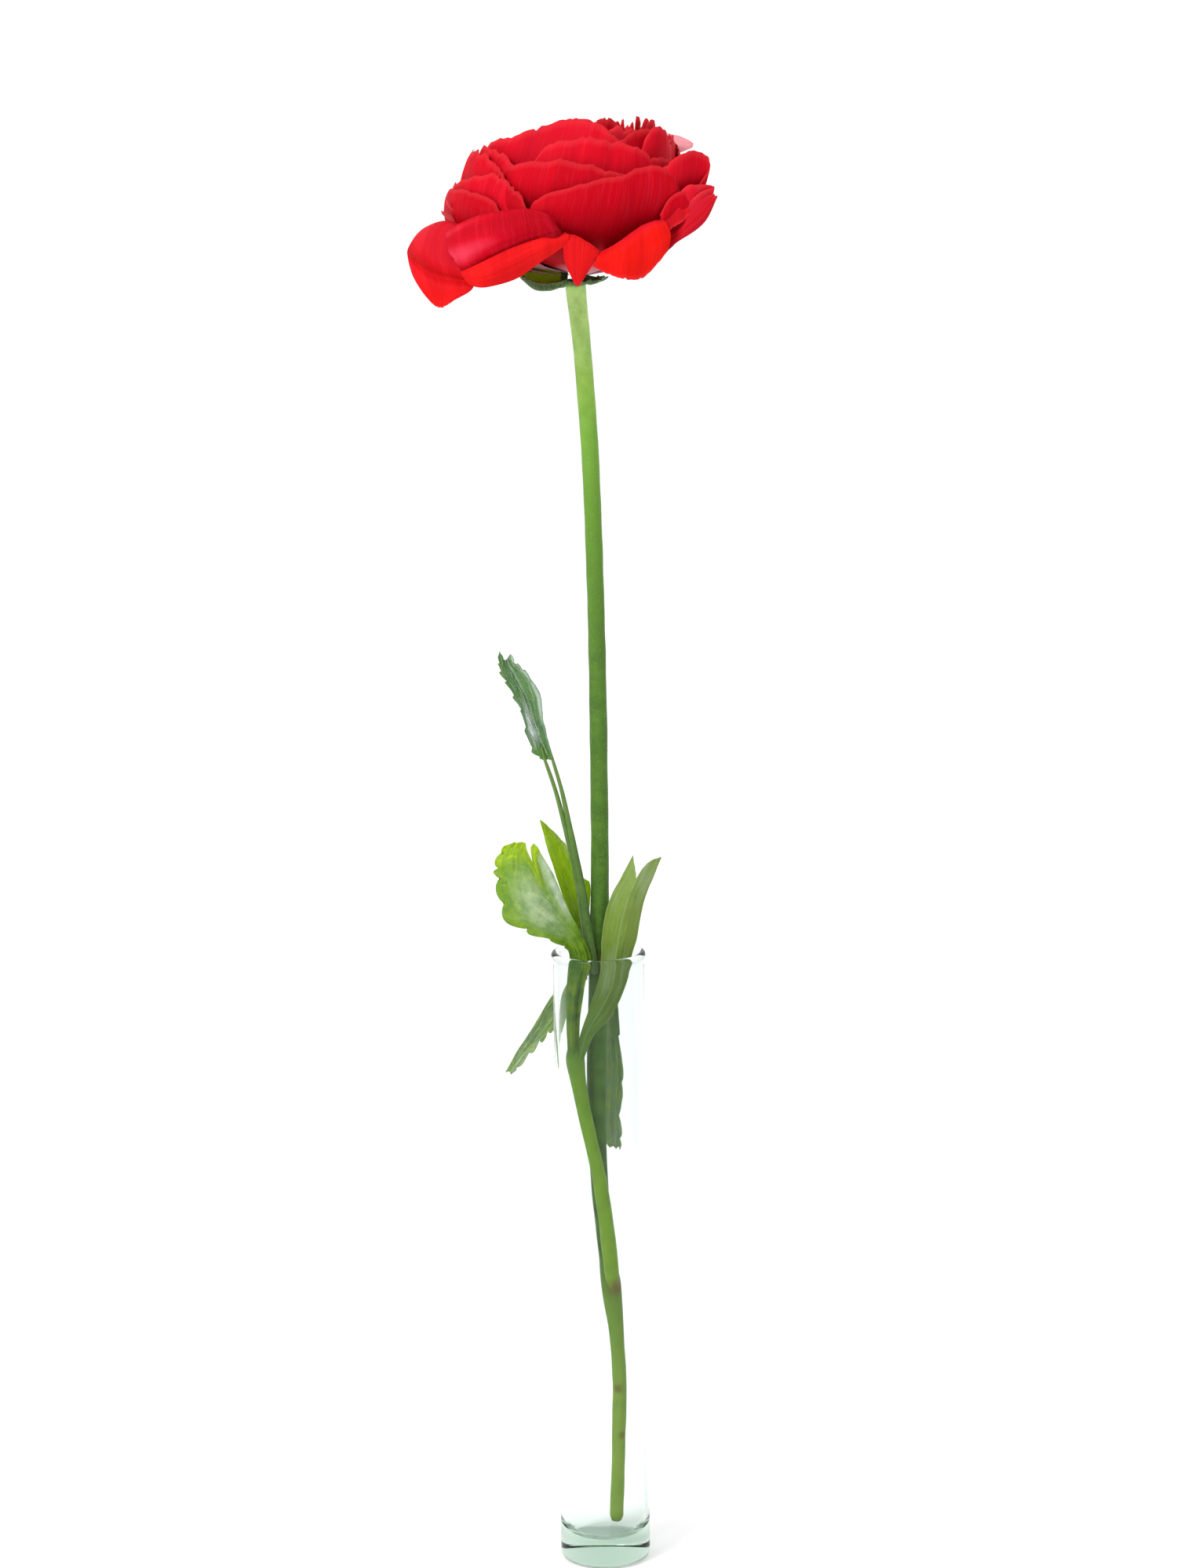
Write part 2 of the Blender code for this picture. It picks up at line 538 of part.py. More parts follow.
def make_upper_leaf(mat):
    """The dark blade with the two thin stalks that carry it."""
    blade = make_leaf("leaf_upper_dark", None)
    foot = Vector((-1.3, -1.7, 193))
    right_route = [foot, Vector((-2.0, -1.9, 201)), Vector((-3.8, -1.6, 207)),
                   Vector((-5.4, -1.3, 216)), Vector((-7.0, -1.2, 229)),
                   Vector((-8.4, -1.4, 239)), Vector((-10.5, -1.8, 252)),
                   Vector((-13.8, -1.7, 262)), Vector((-15.4, -1.2, 266))]
    left_route = [Vector((-3.4, -1.7, 205)), Vector((-5.9, -1.0, 216)),
                  Vector((-8.1, -0.6, 228)), Vector((-10.4, -0.8, 240)),
                  Vector((-12.9, -1.4, 251)), Vector((-15.6, -2.0, 262)),
                  Vector((-16.6, -1.4, 266))]
    right = tube("right_stalk", right_route, [0.9, 1.0, 1.1, 1.1, 1.0, 0.9, 0.8, 0.6, 0.5],
                 15, 6)
    left = tube("left_stalk", left_route, [0.7, 0.8, 0.8, 0.75, 0.7, 0.65, 0.5], 12, 6)
    return join("leaf_upper_dark", [blade, right, left], mat, solver="EXACT")


def main():
    clear_scene()
    glass = material("clear_glass", (0.80, 0.92, 0.86), 0.03, transmission=1.0)
    stalk_green = material("stalk_green", (0.16, 0.33, 0.05), 0.5)
    sepal_green = material("sepal_green", (0.16, 0.25, 0.10), 0.7)
    petal_red = material("petal_red", (0.70, 0.005, 0.015), 0.5)
    leaf_lime = material("leaf_lime", (0.30, 0.52, 0.03), 0.5)
    leaf_olive = material("leaf_olive", (0.21, 0.32, 0.08), 0.5)
    leaf_blue_green = material("leaf_blue_green", (0.08, 0.19, 0.09), 0.35)
    make_vase(glass)
    make_stem(stalk_green)
    make_calyx(sepal_green)
    make_bloom(petal_red)
    make_leaf("leaf_right_folded", leaf_olive)
    make_leaf("leaf_left_lobed", leaf_lime)
    make_leaf("leaf_back_yellow", leaf_lime)
    make_leaf("leaf_outer_hanging", leaf_blue_green)
    make_leaf("leaf_inside_hanging", leaf_olive)
    make_upper_leaf(leaf_blue_green)


main()
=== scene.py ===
# %% [markdown]
# # A ranunculus in a glass tube
# The object is one cut double ranunculus: a scarlet bloom of thin petals, a hairy stalk with a
# side shoot, soft lobed leaves, and the clear glass tube that it stands in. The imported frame
# gives every sub-part its place and size. Each one is replaced here by a finer mesh of the same
# form, with the surface that the living thing shows from close by. Lengths in this file are in
# millimetres, as a florist would measure them, and become metres where a mesh is made.

# %% Load the frame
import math
import random

import bpy
import numpy as np
from mathutils import Matrix, Vector, noise


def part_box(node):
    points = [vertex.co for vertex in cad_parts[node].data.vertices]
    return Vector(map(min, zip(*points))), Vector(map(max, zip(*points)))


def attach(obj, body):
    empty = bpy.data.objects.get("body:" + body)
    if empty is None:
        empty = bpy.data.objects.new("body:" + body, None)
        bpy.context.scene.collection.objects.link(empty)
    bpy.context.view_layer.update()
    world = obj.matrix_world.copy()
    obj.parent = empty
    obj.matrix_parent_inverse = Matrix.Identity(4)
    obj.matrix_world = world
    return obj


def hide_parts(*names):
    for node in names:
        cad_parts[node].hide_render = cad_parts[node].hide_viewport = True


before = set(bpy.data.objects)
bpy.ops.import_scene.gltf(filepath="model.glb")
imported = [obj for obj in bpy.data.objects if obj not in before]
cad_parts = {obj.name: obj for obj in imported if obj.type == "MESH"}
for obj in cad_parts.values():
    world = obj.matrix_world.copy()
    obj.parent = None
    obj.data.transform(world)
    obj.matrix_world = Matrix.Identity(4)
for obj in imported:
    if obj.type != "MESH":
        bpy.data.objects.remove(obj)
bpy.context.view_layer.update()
MM = 0.001
vase_low, vase_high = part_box("vase")
VASE_RADIUS = (vase_high[0] - vase_low[0]) / 2 / MM
VASE_HEIGHT = vase_high[2] / MM
STALK_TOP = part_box("stem")[1][2] / MM
print(f"vase {2 * VASE_RADIUS:.1f} mm across, {VASE_HEIGHT:.0f} mm tall; stalk to {STALK_TOP:.0f} mm")

# %% [markdown]
# ## Smooth curves and smooth nets
# A petal is easiest to describe by a few points that it passes through. A Catmull-Rom curve goes
# through its points without overshooting much, and a net of such curves makes a surface. Bezier
# patches would do as well, but their handles lie off the surface and are harder to read.

# %% Curves and nets
def smooth_step(x):
    x = min(max(x, 0.0), 1.0)
    return x * x * (3.0 - 2.0 * x)


def ridge(x, middle, width):
    """A smooth ridge, 1 high at its middle, that falls off over its width."""
    return math.exp(-((x - middle) / width) ** 2)


def through(points, t):
    """A point of the smooth curve through points, t running from 0 to 1."""
    last = len(points) - 1
    s = min(max(t, 0.0), 1.0) * last
    i = min(int(s), last - 1)
    f = s - i
    p1, p2 = points[i], points[i + 1]
    p0 = points[i - 1] if i > 0 else p1 * 2 - p2
    p3 = points[i + 2] if i + 2 <= last else p2 * 2 - p1
    return (p1 * 2 + (p2 - p0) * f + (p0 * 2 - p1 * 5 + p2 * 4 - p3) * f * f
            + (p1 * 3 - p0 - p2 * 3 + p3) * f * f * f) * 0.5


def net_point(net, u, v):
    """A point of the smooth surface through a net: v along its rows, u from -1 to 1 across."""
    return through([through(row, (u + 1) / 2) for row in net], v)


def read_line(points, u):
    """Reads the broken line through points of (u, value), left to right."""
    for (u0, a), (u1, b) in zip(points, points[1:]):
        if u <= u1:
            return a + (b - a) * max(u - u0, 0.0) / (u1 - u0)
    return points[-1][1]


hill = [Vector((0, 0, 0)), Vector((1, 0, 2)), Vector((2, 0, 0))]
print("a curve over a hill 2 high stands", round(through(hill, 0.25).z, 3), "high a quarter along")

# %% [markdown]
# ## A mesh and its values
# Each visible piece is one mesh of many blades or tubes. Joining finished objects would lose
# what each vertex knows about its own petal, so the parts are gathered first. A named value,
# such as how shaded a petal is, becomes an attribute that its material reads.

# %% A mesh builder
class MeshMaker:
    """Gathers vertices, faces and named values, and makes one object of them."""

    def __init__(self):
        self.points, self.faces, self.values, self.count = [], [], [], 0

    def add(self, points, faces, **values):
        self.points.append(np.asarray(points, float))
        self.faces += [tuple(i + self.count for i in face) for face in faces]
        self.values.append((len(points), values))
        self.count += len(points)

    def make(self, name, material, node=None):
        mesh = bpy.data.meshes.new(name)
        mesh.from_pydata(np.concatenate(self.points) * MM, [], self.faces)
        for key in sorted({key for _, values in self.values for key in values}):
            layer = mesh.attributes.new(key, "FLOAT", "POINT")
            layer.data.foreach_set("value", np.concatenate(
                [np.broadcast_to(np.asarray(values.get(key, 0.0), float), (size,))
                 for size, values in self.values]))
        mesh.materials.append(material)
        mesh.shade_smooth()
        mesh.update()
        obj = bpy.data.objects.new(name, mesh)
        bpy.context.scene.collection.objects.link(obj)
        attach(obj, "root")
        if node:
            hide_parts(node)
        print(f"{name}: {len(mesh.polygons)} faces")
        return obj


print("millimetres become metres by", MM)

# %% [markdown]
# ## Thin closed blades
# Every petal, sepal and leaf is a skin with two faces and a rim. Solidify would add the second
# face as a modifier, but then the two faces couldn't know which is which. Here the skin is made
# directly: the grid is pushed out by half its thickness both ways, and each vertex remembers
# its place across and along the blade, which face it is on, and its blade's own shade.

# %% Blades
RIM_SHARE = 0.55               # share of its thickness that a blade keeps at its rim
RIM_WIDTH = 0.12               # how far in from the rim the thinning starts, in u or v


def grid_normals(grid):
    along = np.gradient(grid, axis=0)
    across = np.gradient(grid, axis=1)
    normal = np.cross(along, across)
    return normal / np.maximum(np.linalg.norm(normal, axis=2, keepdims=True), 1e-9)


def add_skin(maker, place, rows, columns, thickness, relief=None, **values):
    """Adds a thin closed blade. place(u, v) gives its middle surface and relief(u, v) how far
    it swells along its normal, both in mm. A value may be a number or a function of u and v."""
    across = np.linspace(-1, 1, columns)
    length = np.linspace(0, 1, rows)
    grid = np.array([[place(u, v) for u in across] for v in length], float)
    if relief:
        lift = np.array([[relief(u, v) for u in across] for v in length])
        grid = grid + grid_normals(grid) * lift[..., None]
    normal = grid_normals(grid)
    edge = np.minimum(1 - np.abs(across)[None, :], 1 - length[:, None])
    half = 0.5 * thickness * (RIM_SHARE + (1 - RIM_SHARE) * np.clip(edge / RIM_WIDTH, 0, 1))
    upper = (grid + normal * half[..., None]).reshape(-1, 3)
    under = (grid - normal * half[..., None]).reshape(-1, 3)
    n = rows * columns
    faces = []
    for i in range(rows - 1):
        for j in range(columns - 1):
            a = i * columns + j
            c = a + columns
            faces += [(a, c, c + 1), (a, c + 1, a + 1),
                      (n + c + 1, n + c, n + a), (n + a + 1, n + c + 1, n + a)]
    rim = ([j for j in range(columns)]
           + [i * columns + columns - 1 for i in range(1, rows)]
           + [(rows - 1) * columns + j for j in range(columns - 2, -1, -1)]
           + [i * columns for i in range(rows - 2, 0, -1)])
    for a, b in zip(rim, rim[1:] + rim[:1]):
        faces += [(a, b, n + b), (a, n + b, n + a)]
    known = {"across": lambda u, v: u, "along": lambda u, v: v, **values}
    for key, value in known.items():
        if callable(value):
            known[key] = np.tile([value(u, v) for v in length for u in across], 2)
    maker.add(np.concatenate([upper, under]), [tuple(reversed(f)) for f in faces],
              inner=np.repeat([1.0, 0.0], n), **known)


trial = MeshMaker()
add_skin(trial, lambda u, v: Vector((u, v, 0)), 3, 3, 0.2)
print("a trial blade of 3 by 3 points a side has", len(trial.faces), "faces")

# %% [markdown]
# ## Tubes
# Stalks are tubes along a curve, thicker and thinner as they go. A curve object with a bevel
# would give them too, but this way each vertex knows how far along and how high up it stands,
# which is what a stalk's colour follows. Smooth noise keeps the cross-section from being a
# perfect circle.

# %% Tubes
def add_tube(maker, route, radii, steps, sides, wobble=0.0, **values):
    """Adds a closed tube along the smooth curve through route, with rounded ends."""
    rings, shares, levels = [], [], []
    for i in range(steps):
        t = i / (steps - 1)
        centre = through(route, t)
        ahead = (through(route, min(t + 0.004, 1)) - through(route, max(t - 0.004, 0)))
        side = ahead.cross(Vector((0, 1, 0))).normalized()
        front = side.cross(ahead).normalized()
        radius = through([Vector((r, 0, 0)) for r in radii], t).x
        radius *= min(1.0, 0.72 + 0.28 * min(i, steps - 1 - i) / 2)
        for k in range(sides):
            turn = 2 * math.pi * k / sides
            way = side * math.cos(turn) + front * math.sin(turn)
            rough = wobble * noise.noise(Vector((way.x, way.y, 0)) * 1.3 + centre * 0.12)
            rings.append(centre + way * (radius + rough))
            shares.append(t)
            levels.append(centre.z / STALK_TOP)
    faces = []
    for i in range(steps - 1):
        for k in range(sides):
            a, b = i * sides + k, i * sides + (k + 1) % sides
            faces.append((a, b, b + sides, a + sides))
    faces.append(tuple(reversed(range(sides))))
    faces.append(tuple(range((steps - 1) * sides, steps * sides)))
    maker.add([tuple(p) for p in rings], faces, along=shares, level=levels, **values)


trial = MeshMaker()
add_tube(trial, hill, [1.0, 1.0], 5, 8)
print("a trial tube of 5 rings of 8 points has", len(trial.faces), "faces")

# %% [markdown]
# ## Colours and shader nodes
# The hex colours are the ones a paint program shows. Cycles mixes light in linear values, so one
# function turns them. Another adds a node with its settings and links, so that a material reads
# as a list of what it is made of.

# %% Colour and node helpers
def linear(hex_colour):
    """Turns an sRGB hex colour such as "C8001E" to linear RGBA."""
    parts = [int(hex_colour[i:i + 2], 16) / 255 for i in (0, 2, 4)]
    return tuple(p / 12.92 if p <= 0.04045 else ((p + 0.055) / 1.055) ** 2.4
                 for p in parts) + (1.0,)


def new_material(name):
    material = bpy.data.materials.new(name)
    material.use_nodes = True
    material.node_tree.nodes.clear()
    return material


def add(material, kind, *feeds, stops=None, **named):
    """Adds a shader node. The feeds go to its inputs in order. A named value goes to the
    node's own setting of that name, or else to the input of that name, where an underscore
    stands for a space. A node given as a value stands for its first output."""
    node = material.node_tree.nodes.new("ShaderNode" + kind)
    for name in [name for name in named if hasattr(node, name)]:
        setattr(node, name, named.pop(name))
    if stops:
        while len(node.color_ramp.elements) < len(stops):
            node.color_ramp.elements.new(1.0)
        for element, (position, colour) in zip(node.color_ramp.elements, stops):
            element.position = position
            element.color = linear(colour) if isinstance(colour, str) else (colour,) * 3 + (1,)
    sockets = [socket for socket in node.inputs if socket.enabled]
    by_name = {socket.name: socket for socket in reversed(sockets)}
    pairs = list(zip(sockets, feeds))
    pairs += [(by_name[name.replace("_", " ")], value) for name, value in named.items()]
    for socket, value in pairs:
        if isinstance(value, bpy.types.Node):
            value = next(output for output in value.outputs if output.enabled)
        if isinstance(value, bpy.types.NodeSocket):
            material.node_tree.links.new(value, socket)
        elif value is not None:
            socket.default_value = value
    return node


def mix(material, share, under, over):
    """Mixes two colours, share of the second over the first. It may be given in hex."""
    over = linear(over) if isinstance(over, str) else over
    return add(material, "Mix", share, under, over, data_type="RGBA")


def times(material, a, b):
    return add(material, "Math", a, b, operation="MULTIPLY")


print("full red in linear light:", linear("FF0000")[:3])

# %% [markdown]
# ## Petal
# A ranunculus petal is a sheet of cells about 0.3 mm thick. Its surface cells stand in rows from
# the claw to the rim, which gives fine streaks and a soft, satiny shine. Red pigment sits in
# both skins, more scarlet on the inner one where it turns to the sun, and the pale claw has none.
# Where an inner face is lit, or lit through, it is painted more scarlet still, a painted light.
# Light passes through, so part of the surface is a translucent shader. The streaks are about
# 0.5 mm apart and lie in bands 2 mm wide, both drawn by stretching noise along the petal.

# %% Petal tissue
STREAK_LENGTH = 1.6            # a petal's whole length in the noise, short so streaks run far
FAR_APART = 40.0               # keeps one petal's streaks from going on in the next
SHARE_THROUGH = 0.24           # share of the light that comes through the sheet


def petal_material():
    """shade runs from crimson to salmon, its salmon end partly a painted sheen and its dark end
    partly painted shade; warm to scarlet, the inner skin's own colour and painted
    light where a face is lit; pale to the white of a claw; and sunk is 1 where the petal in
    front keeps the light away, a painted shade."""
    m = new_material("ranunculus_petal")
    across, along, inner, shade, pale, wide, petal, warm, sunk = [
        add(m, "Attribute", attribute_name=name).outputs["Fac"]
        for name in ("across", "along", "inner", "shade", "pale", "wide", "petal", "warm",
                     "sunk")]
    sideways = times(m, across, wide)
    outwards = times(m, along, STREAK_LENGTH)
    petal_by_petal = times(m, petal, FAR_APART)
    place = add(m, "CombineXYZ", sideways, outwards, petal_by_petal)
    streaks = add(m, "TexNoise", Vector=place, Scale=2.4, Detail=6.0, Roughness=0.7)
    bands = add(m, "TexNoise", Vector=place, Scale=0.42, Detail=4.0, Roughness=0.6)
    patches = add(m, "TexNoise", Vector=place, Scale=0.13, Detail=2.0)
    # The salmon end of these ramps is partly a painted sheen, and their dark end partly painted
    # shade.
    outside = add(m, "ValToRGB", shade, stops=[(0.0, "B0000C"), (0.4, "DA041E"), (0.7, "E81830"),
                                               (1.0, "EE4452")])
    cool = add(m, "ValToRGB", shade, stops=[(0.0, "96000C"), (0.5, "CC0420"), (1.0, "EA3E58")])
    # warm mixes in scarlet: the inner skin's own colour, and painted light where a face is lit or lit
    # through
    inside = mix(m, warm, cool, "F01A10")
    skin_colour = mix(m, inner, outside, inside)
    quiet = add(m, "Math", warm, -0.7, 1.0, operation="MULTIPLY_ADD")
    band_share = times(m, add(m, "MapRange", bands, 0.50, 0.80, 0.0, 0.30), quiet)
    banded = mix(m, band_share, skin_colour, "C01838")
    pale_share = add(m, "MapRange", streaks, 0.50, 0.78, 0.0, 0.30)
    streaked = mix(m, pale_share, banded, "F04454")
    deep_share = add(m, "MapRange", patches, 0.62, 0.36, 0.0, 0.35)
    deepened = mix(m, deep_share, streaked, "A80014")
    sunken = mix(m, times(m, sunk, 0.6), deepened, "86000F")
    claw_share = add(m, "MapRange", along, 0.30, 0.05, 0.0, 0.9)
    clawed = mix(m, claw_share, sunken, "DCA8B8")
    rim_share = add(m, "MapRange", along, 0.95, 1.0, 0.0, 0.3)
    rimmed = mix(m, rim_share, clawed, "F04A50")
    colour = mix(m, pale, rimmed, "F2B0B8")
    height = add(m, "Math", bands, 1.6, streaks, operation="MULTIPLY_ADD")
    bump = add(m, "Bump", Height=height, Strength=0.5, Distance=0.0003)
    skin = add(m, "BsdfPrincipled", Base_Color=colour, Roughness=0.55, IOR=1.42,
               Specular_IOR_Level=0.05, Normal=bump)
    glow = add(m, "BsdfTranslucent", colour)
    add(m, "OutputMaterial", add(m, "MixShader", SHARE_THROUGH, skin, glow))
    return m


PETAL = petal_material()
print("petal tissue: streaks, bands, claw and both skins")

# %% [markdown]
# ## The bloom: how a cupped petal runs
# A ranunculus makes its petals one after another round a short axis, so they lie in shells like
# an onion's. A petal leaves the receptacle low and narrow, bulges, and closes in again towards
# its rim. So each is given by its rim alone: a smooth line through a few points, from the left
# shoulder over the top to the right shoulder, each an azimuth, a radius and a height about the
# flower's own axis. The sheet between root and rim is a Bezier curve for every place across.

# %% Where the bloom stands and how a cupped petal runs
BLOOM_BASE = Vector((-4.5, -0.5, STALK_TOP + 2.0))
BLOOM_LEAN = 0.17              # the flower's axis leans to +X by this for each mm of height
GOLDEN_ANGLE = 137.5
PETAL_THICKNESS = 0.34
ROOT_REACH = 5.0               # radius of the receptacle that the petals spring from
FOOT_DROP = 0.6                # how far below its own place on the receptacle a claw starts
CLAW_RISE = 3.4                # how far the narrow claw climbs before the petal widens
CLAW_WIDTH = 0.35              # the claw's share of a petal's full spread
LOW_BULGE, HIGH_BULGE = 0.80, 1.14    # the sheet's two controls, in radii of the bulge
SHOULDER = 0.62                # height of the upper control, as a share of the rim's height


def cylinder_point(azimuth, reach, height, lean=BLOOM_LEAN):
    turn = math.radians(azimuth)
    return BLOOM_BASE + Vector((reach * math.cos(turn) + lean * height,
                                reach * math.sin(turn), height))


def bezier(v, a, b, c, d):
    """Where a cubic Bezier curve with these four controls is at v."""
    return (1 - v) ** 3 * a + 3 * v * (1 - v) ** 2 * b + 3 * v * v * (1 - v) * c + v ** 3 * d


def cupped_point(azimuth, spread, bulge, lift, rim_reach, top, lean, v):
    """The sheet of a cupped petal, v along it at one place across."""
    foot = lift - FOOT_DROP
    reach = bezier(v, ROOT_REACH, LOW_BULGE * bulge, HIGH_BULGE * bulge, rim_reach)
    height = bezier(v, foot, foot + CLAW_RISE + 0.02 * top, SHOULDER * top, top)
    turn = azimuth + spread * (CLAW_WIDTH + (1 - CLAW_WIDTH) * smooth_step(v * 1.8))
    return cylinder_point(turn, reach, height, lean)


def rim_point(petal, u, v):
    """A cupped petal with a rim of its own."""
    root_azimuth, bulge, lift, rim = petal
    azimuth, rim_reach, top = through(rim, (u + 1) / 2)
    return cupped_point(root_azimuth, azimuth - root_azimuth, bulge, lift, rim_reach, top,
                        BLOOM_LEAN, v)


def cup_point(cup, lift, lean, u, v):
    """A cupped petal with a plain round rim, for those that follow a rule."""
    azimuth, spread, bulge, rim_reach, rim_height, drop, slant = cup
    top = rim_height - drop * abs(u) ** 2.4 + slant * u
    return cupped_point(azimuth, spread * u, bulge, lift, rim_reach, top, lean,
                        v * (1.0 - 0.10 * abs(u) ** 3))


def bent_point(petal, u, v):
    """A petal that rises a little and then falls outward."""
    azimuth, spread, crest, reach_tip, tip = petal
    v = v * (1.0 - 0.12 * abs(u) ** 3)
    reach = bezier(v, ROOT_REACH, 20.0, reach_tip - 2.0, reach_tip)
    height = bezier(v, 1.0, 3.0, crest * 1.7, tip) - 3.0 * u * u * v
    return cylinder_point(azimuth + spread * u * (0.6 + 0.4 * smooth_step(v * 2.0)), reach, height)


print("flower's foot at", tuple(BLOOM_BASE))

# %% [markdown]
# ## Ruffles, nicks and creases
# No petal rim is a clean arc. It ruffles because it grows faster than the sheet behind it, and
# it has small nicks. A few sine waves that swell towards the rim give the ruffle, smooth noise
# along the rim its uneven line, and narrow dips the nicks. All come from one seeded draw for
# each petal. Fine ridges run from the root to the rim, where the rows of cells lie.

# %% One petal with its own ruffle and nicks
draw = random.Random(41)


def petal_character(ruffle, nicks, length_mm, width_mm):
    """Returns (shorten, relief): how a petal's rim is cut and how its sheet swells."""
    waves = [(draw.uniform(2.0, 4.0), draw.uniform(0, 6.3), 0.55),
             (draw.uniform(5.0, 8.0), draw.uniform(0, 6.3), 0.22),
             (draw.uniform(10.0, 15.0), draw.uniform(0, 6.3), 0.07)]
    cuts = [(draw.uniform(-0.9, 0.9), draw.uniform(0.5, 1.4) / width_mm, draw.uniform(0.2, 0.9))
            for _ in range(4)]
    seed = Vector((draw.uniform(0, 90), draw.uniform(0, 90), 0))

    def shorten(u):
        cut = sum(depth * ridge(u, place, width) for place, width, depth in cuts)
        slow = noise.noise(seed + Vector((u * width_mm * 0.11, 0, 0)))
        fine = noise.noise(seed + Vector((u * width_mm * 0.42, 5, 0)))
        return 1.0 - nicks * (0.9 * cut + 0.8 * (slow + 0.3) + 0.45 * (fine + 0.3)) / length_mm

    def relief(u, v):
        rim = sum(share * math.sin(k * u + phase) for k, phase, share in waves)
        sheet = noise.noise(seed + Vector((u * 1.6, v * 1.5, 3.0)))
        fold = noise.noise(seed + Vector((u * width_mm * 0.16, v * 1.3, 5.0)))
        ridge = noise.noise(seed + Vector((u * width_mm * 0.6, v * 1.4, 9.0)))
        return (ruffle * rim * v ** 4 + (0.8 * min(ruffle, 1) * sheet + 0.24 * fold
                                         + 0.06 * ridge) * smooth_step(v * 2))

    return shorten, relief


def add_petal(maker, place, rows, columns, width_mm, ruffle=0.8, nicks=1.0, length_mm=45.0,
              shade=None, pale=0.0, warm=0.25, cupped=True, **values):
    """A cupped petal gets darker below its rim, where the petal in front of it shades it."""
    shorten, relief = petal_character(ruffle, nicks, length_mm, width_mm)
    shade = draw.uniform(0.2, 0.7) if shade is None else shade
    sunk = (lambda u, v: smooth_step((0.93 - v) / 0.42)) if cupped else 0.0
    add_skin(maker, lambda u, v: place(u, v * shorten(u)), rows, columns, PETAL_THICKNESS,
             relief, shade=shade, pale=pale, warm=warm, wide=width_mm / 2, sunk=sunk,
             petal=draw.uniform(0, 1), **values)


print("petal thickness", PETAL_THICKNESS, "mm")
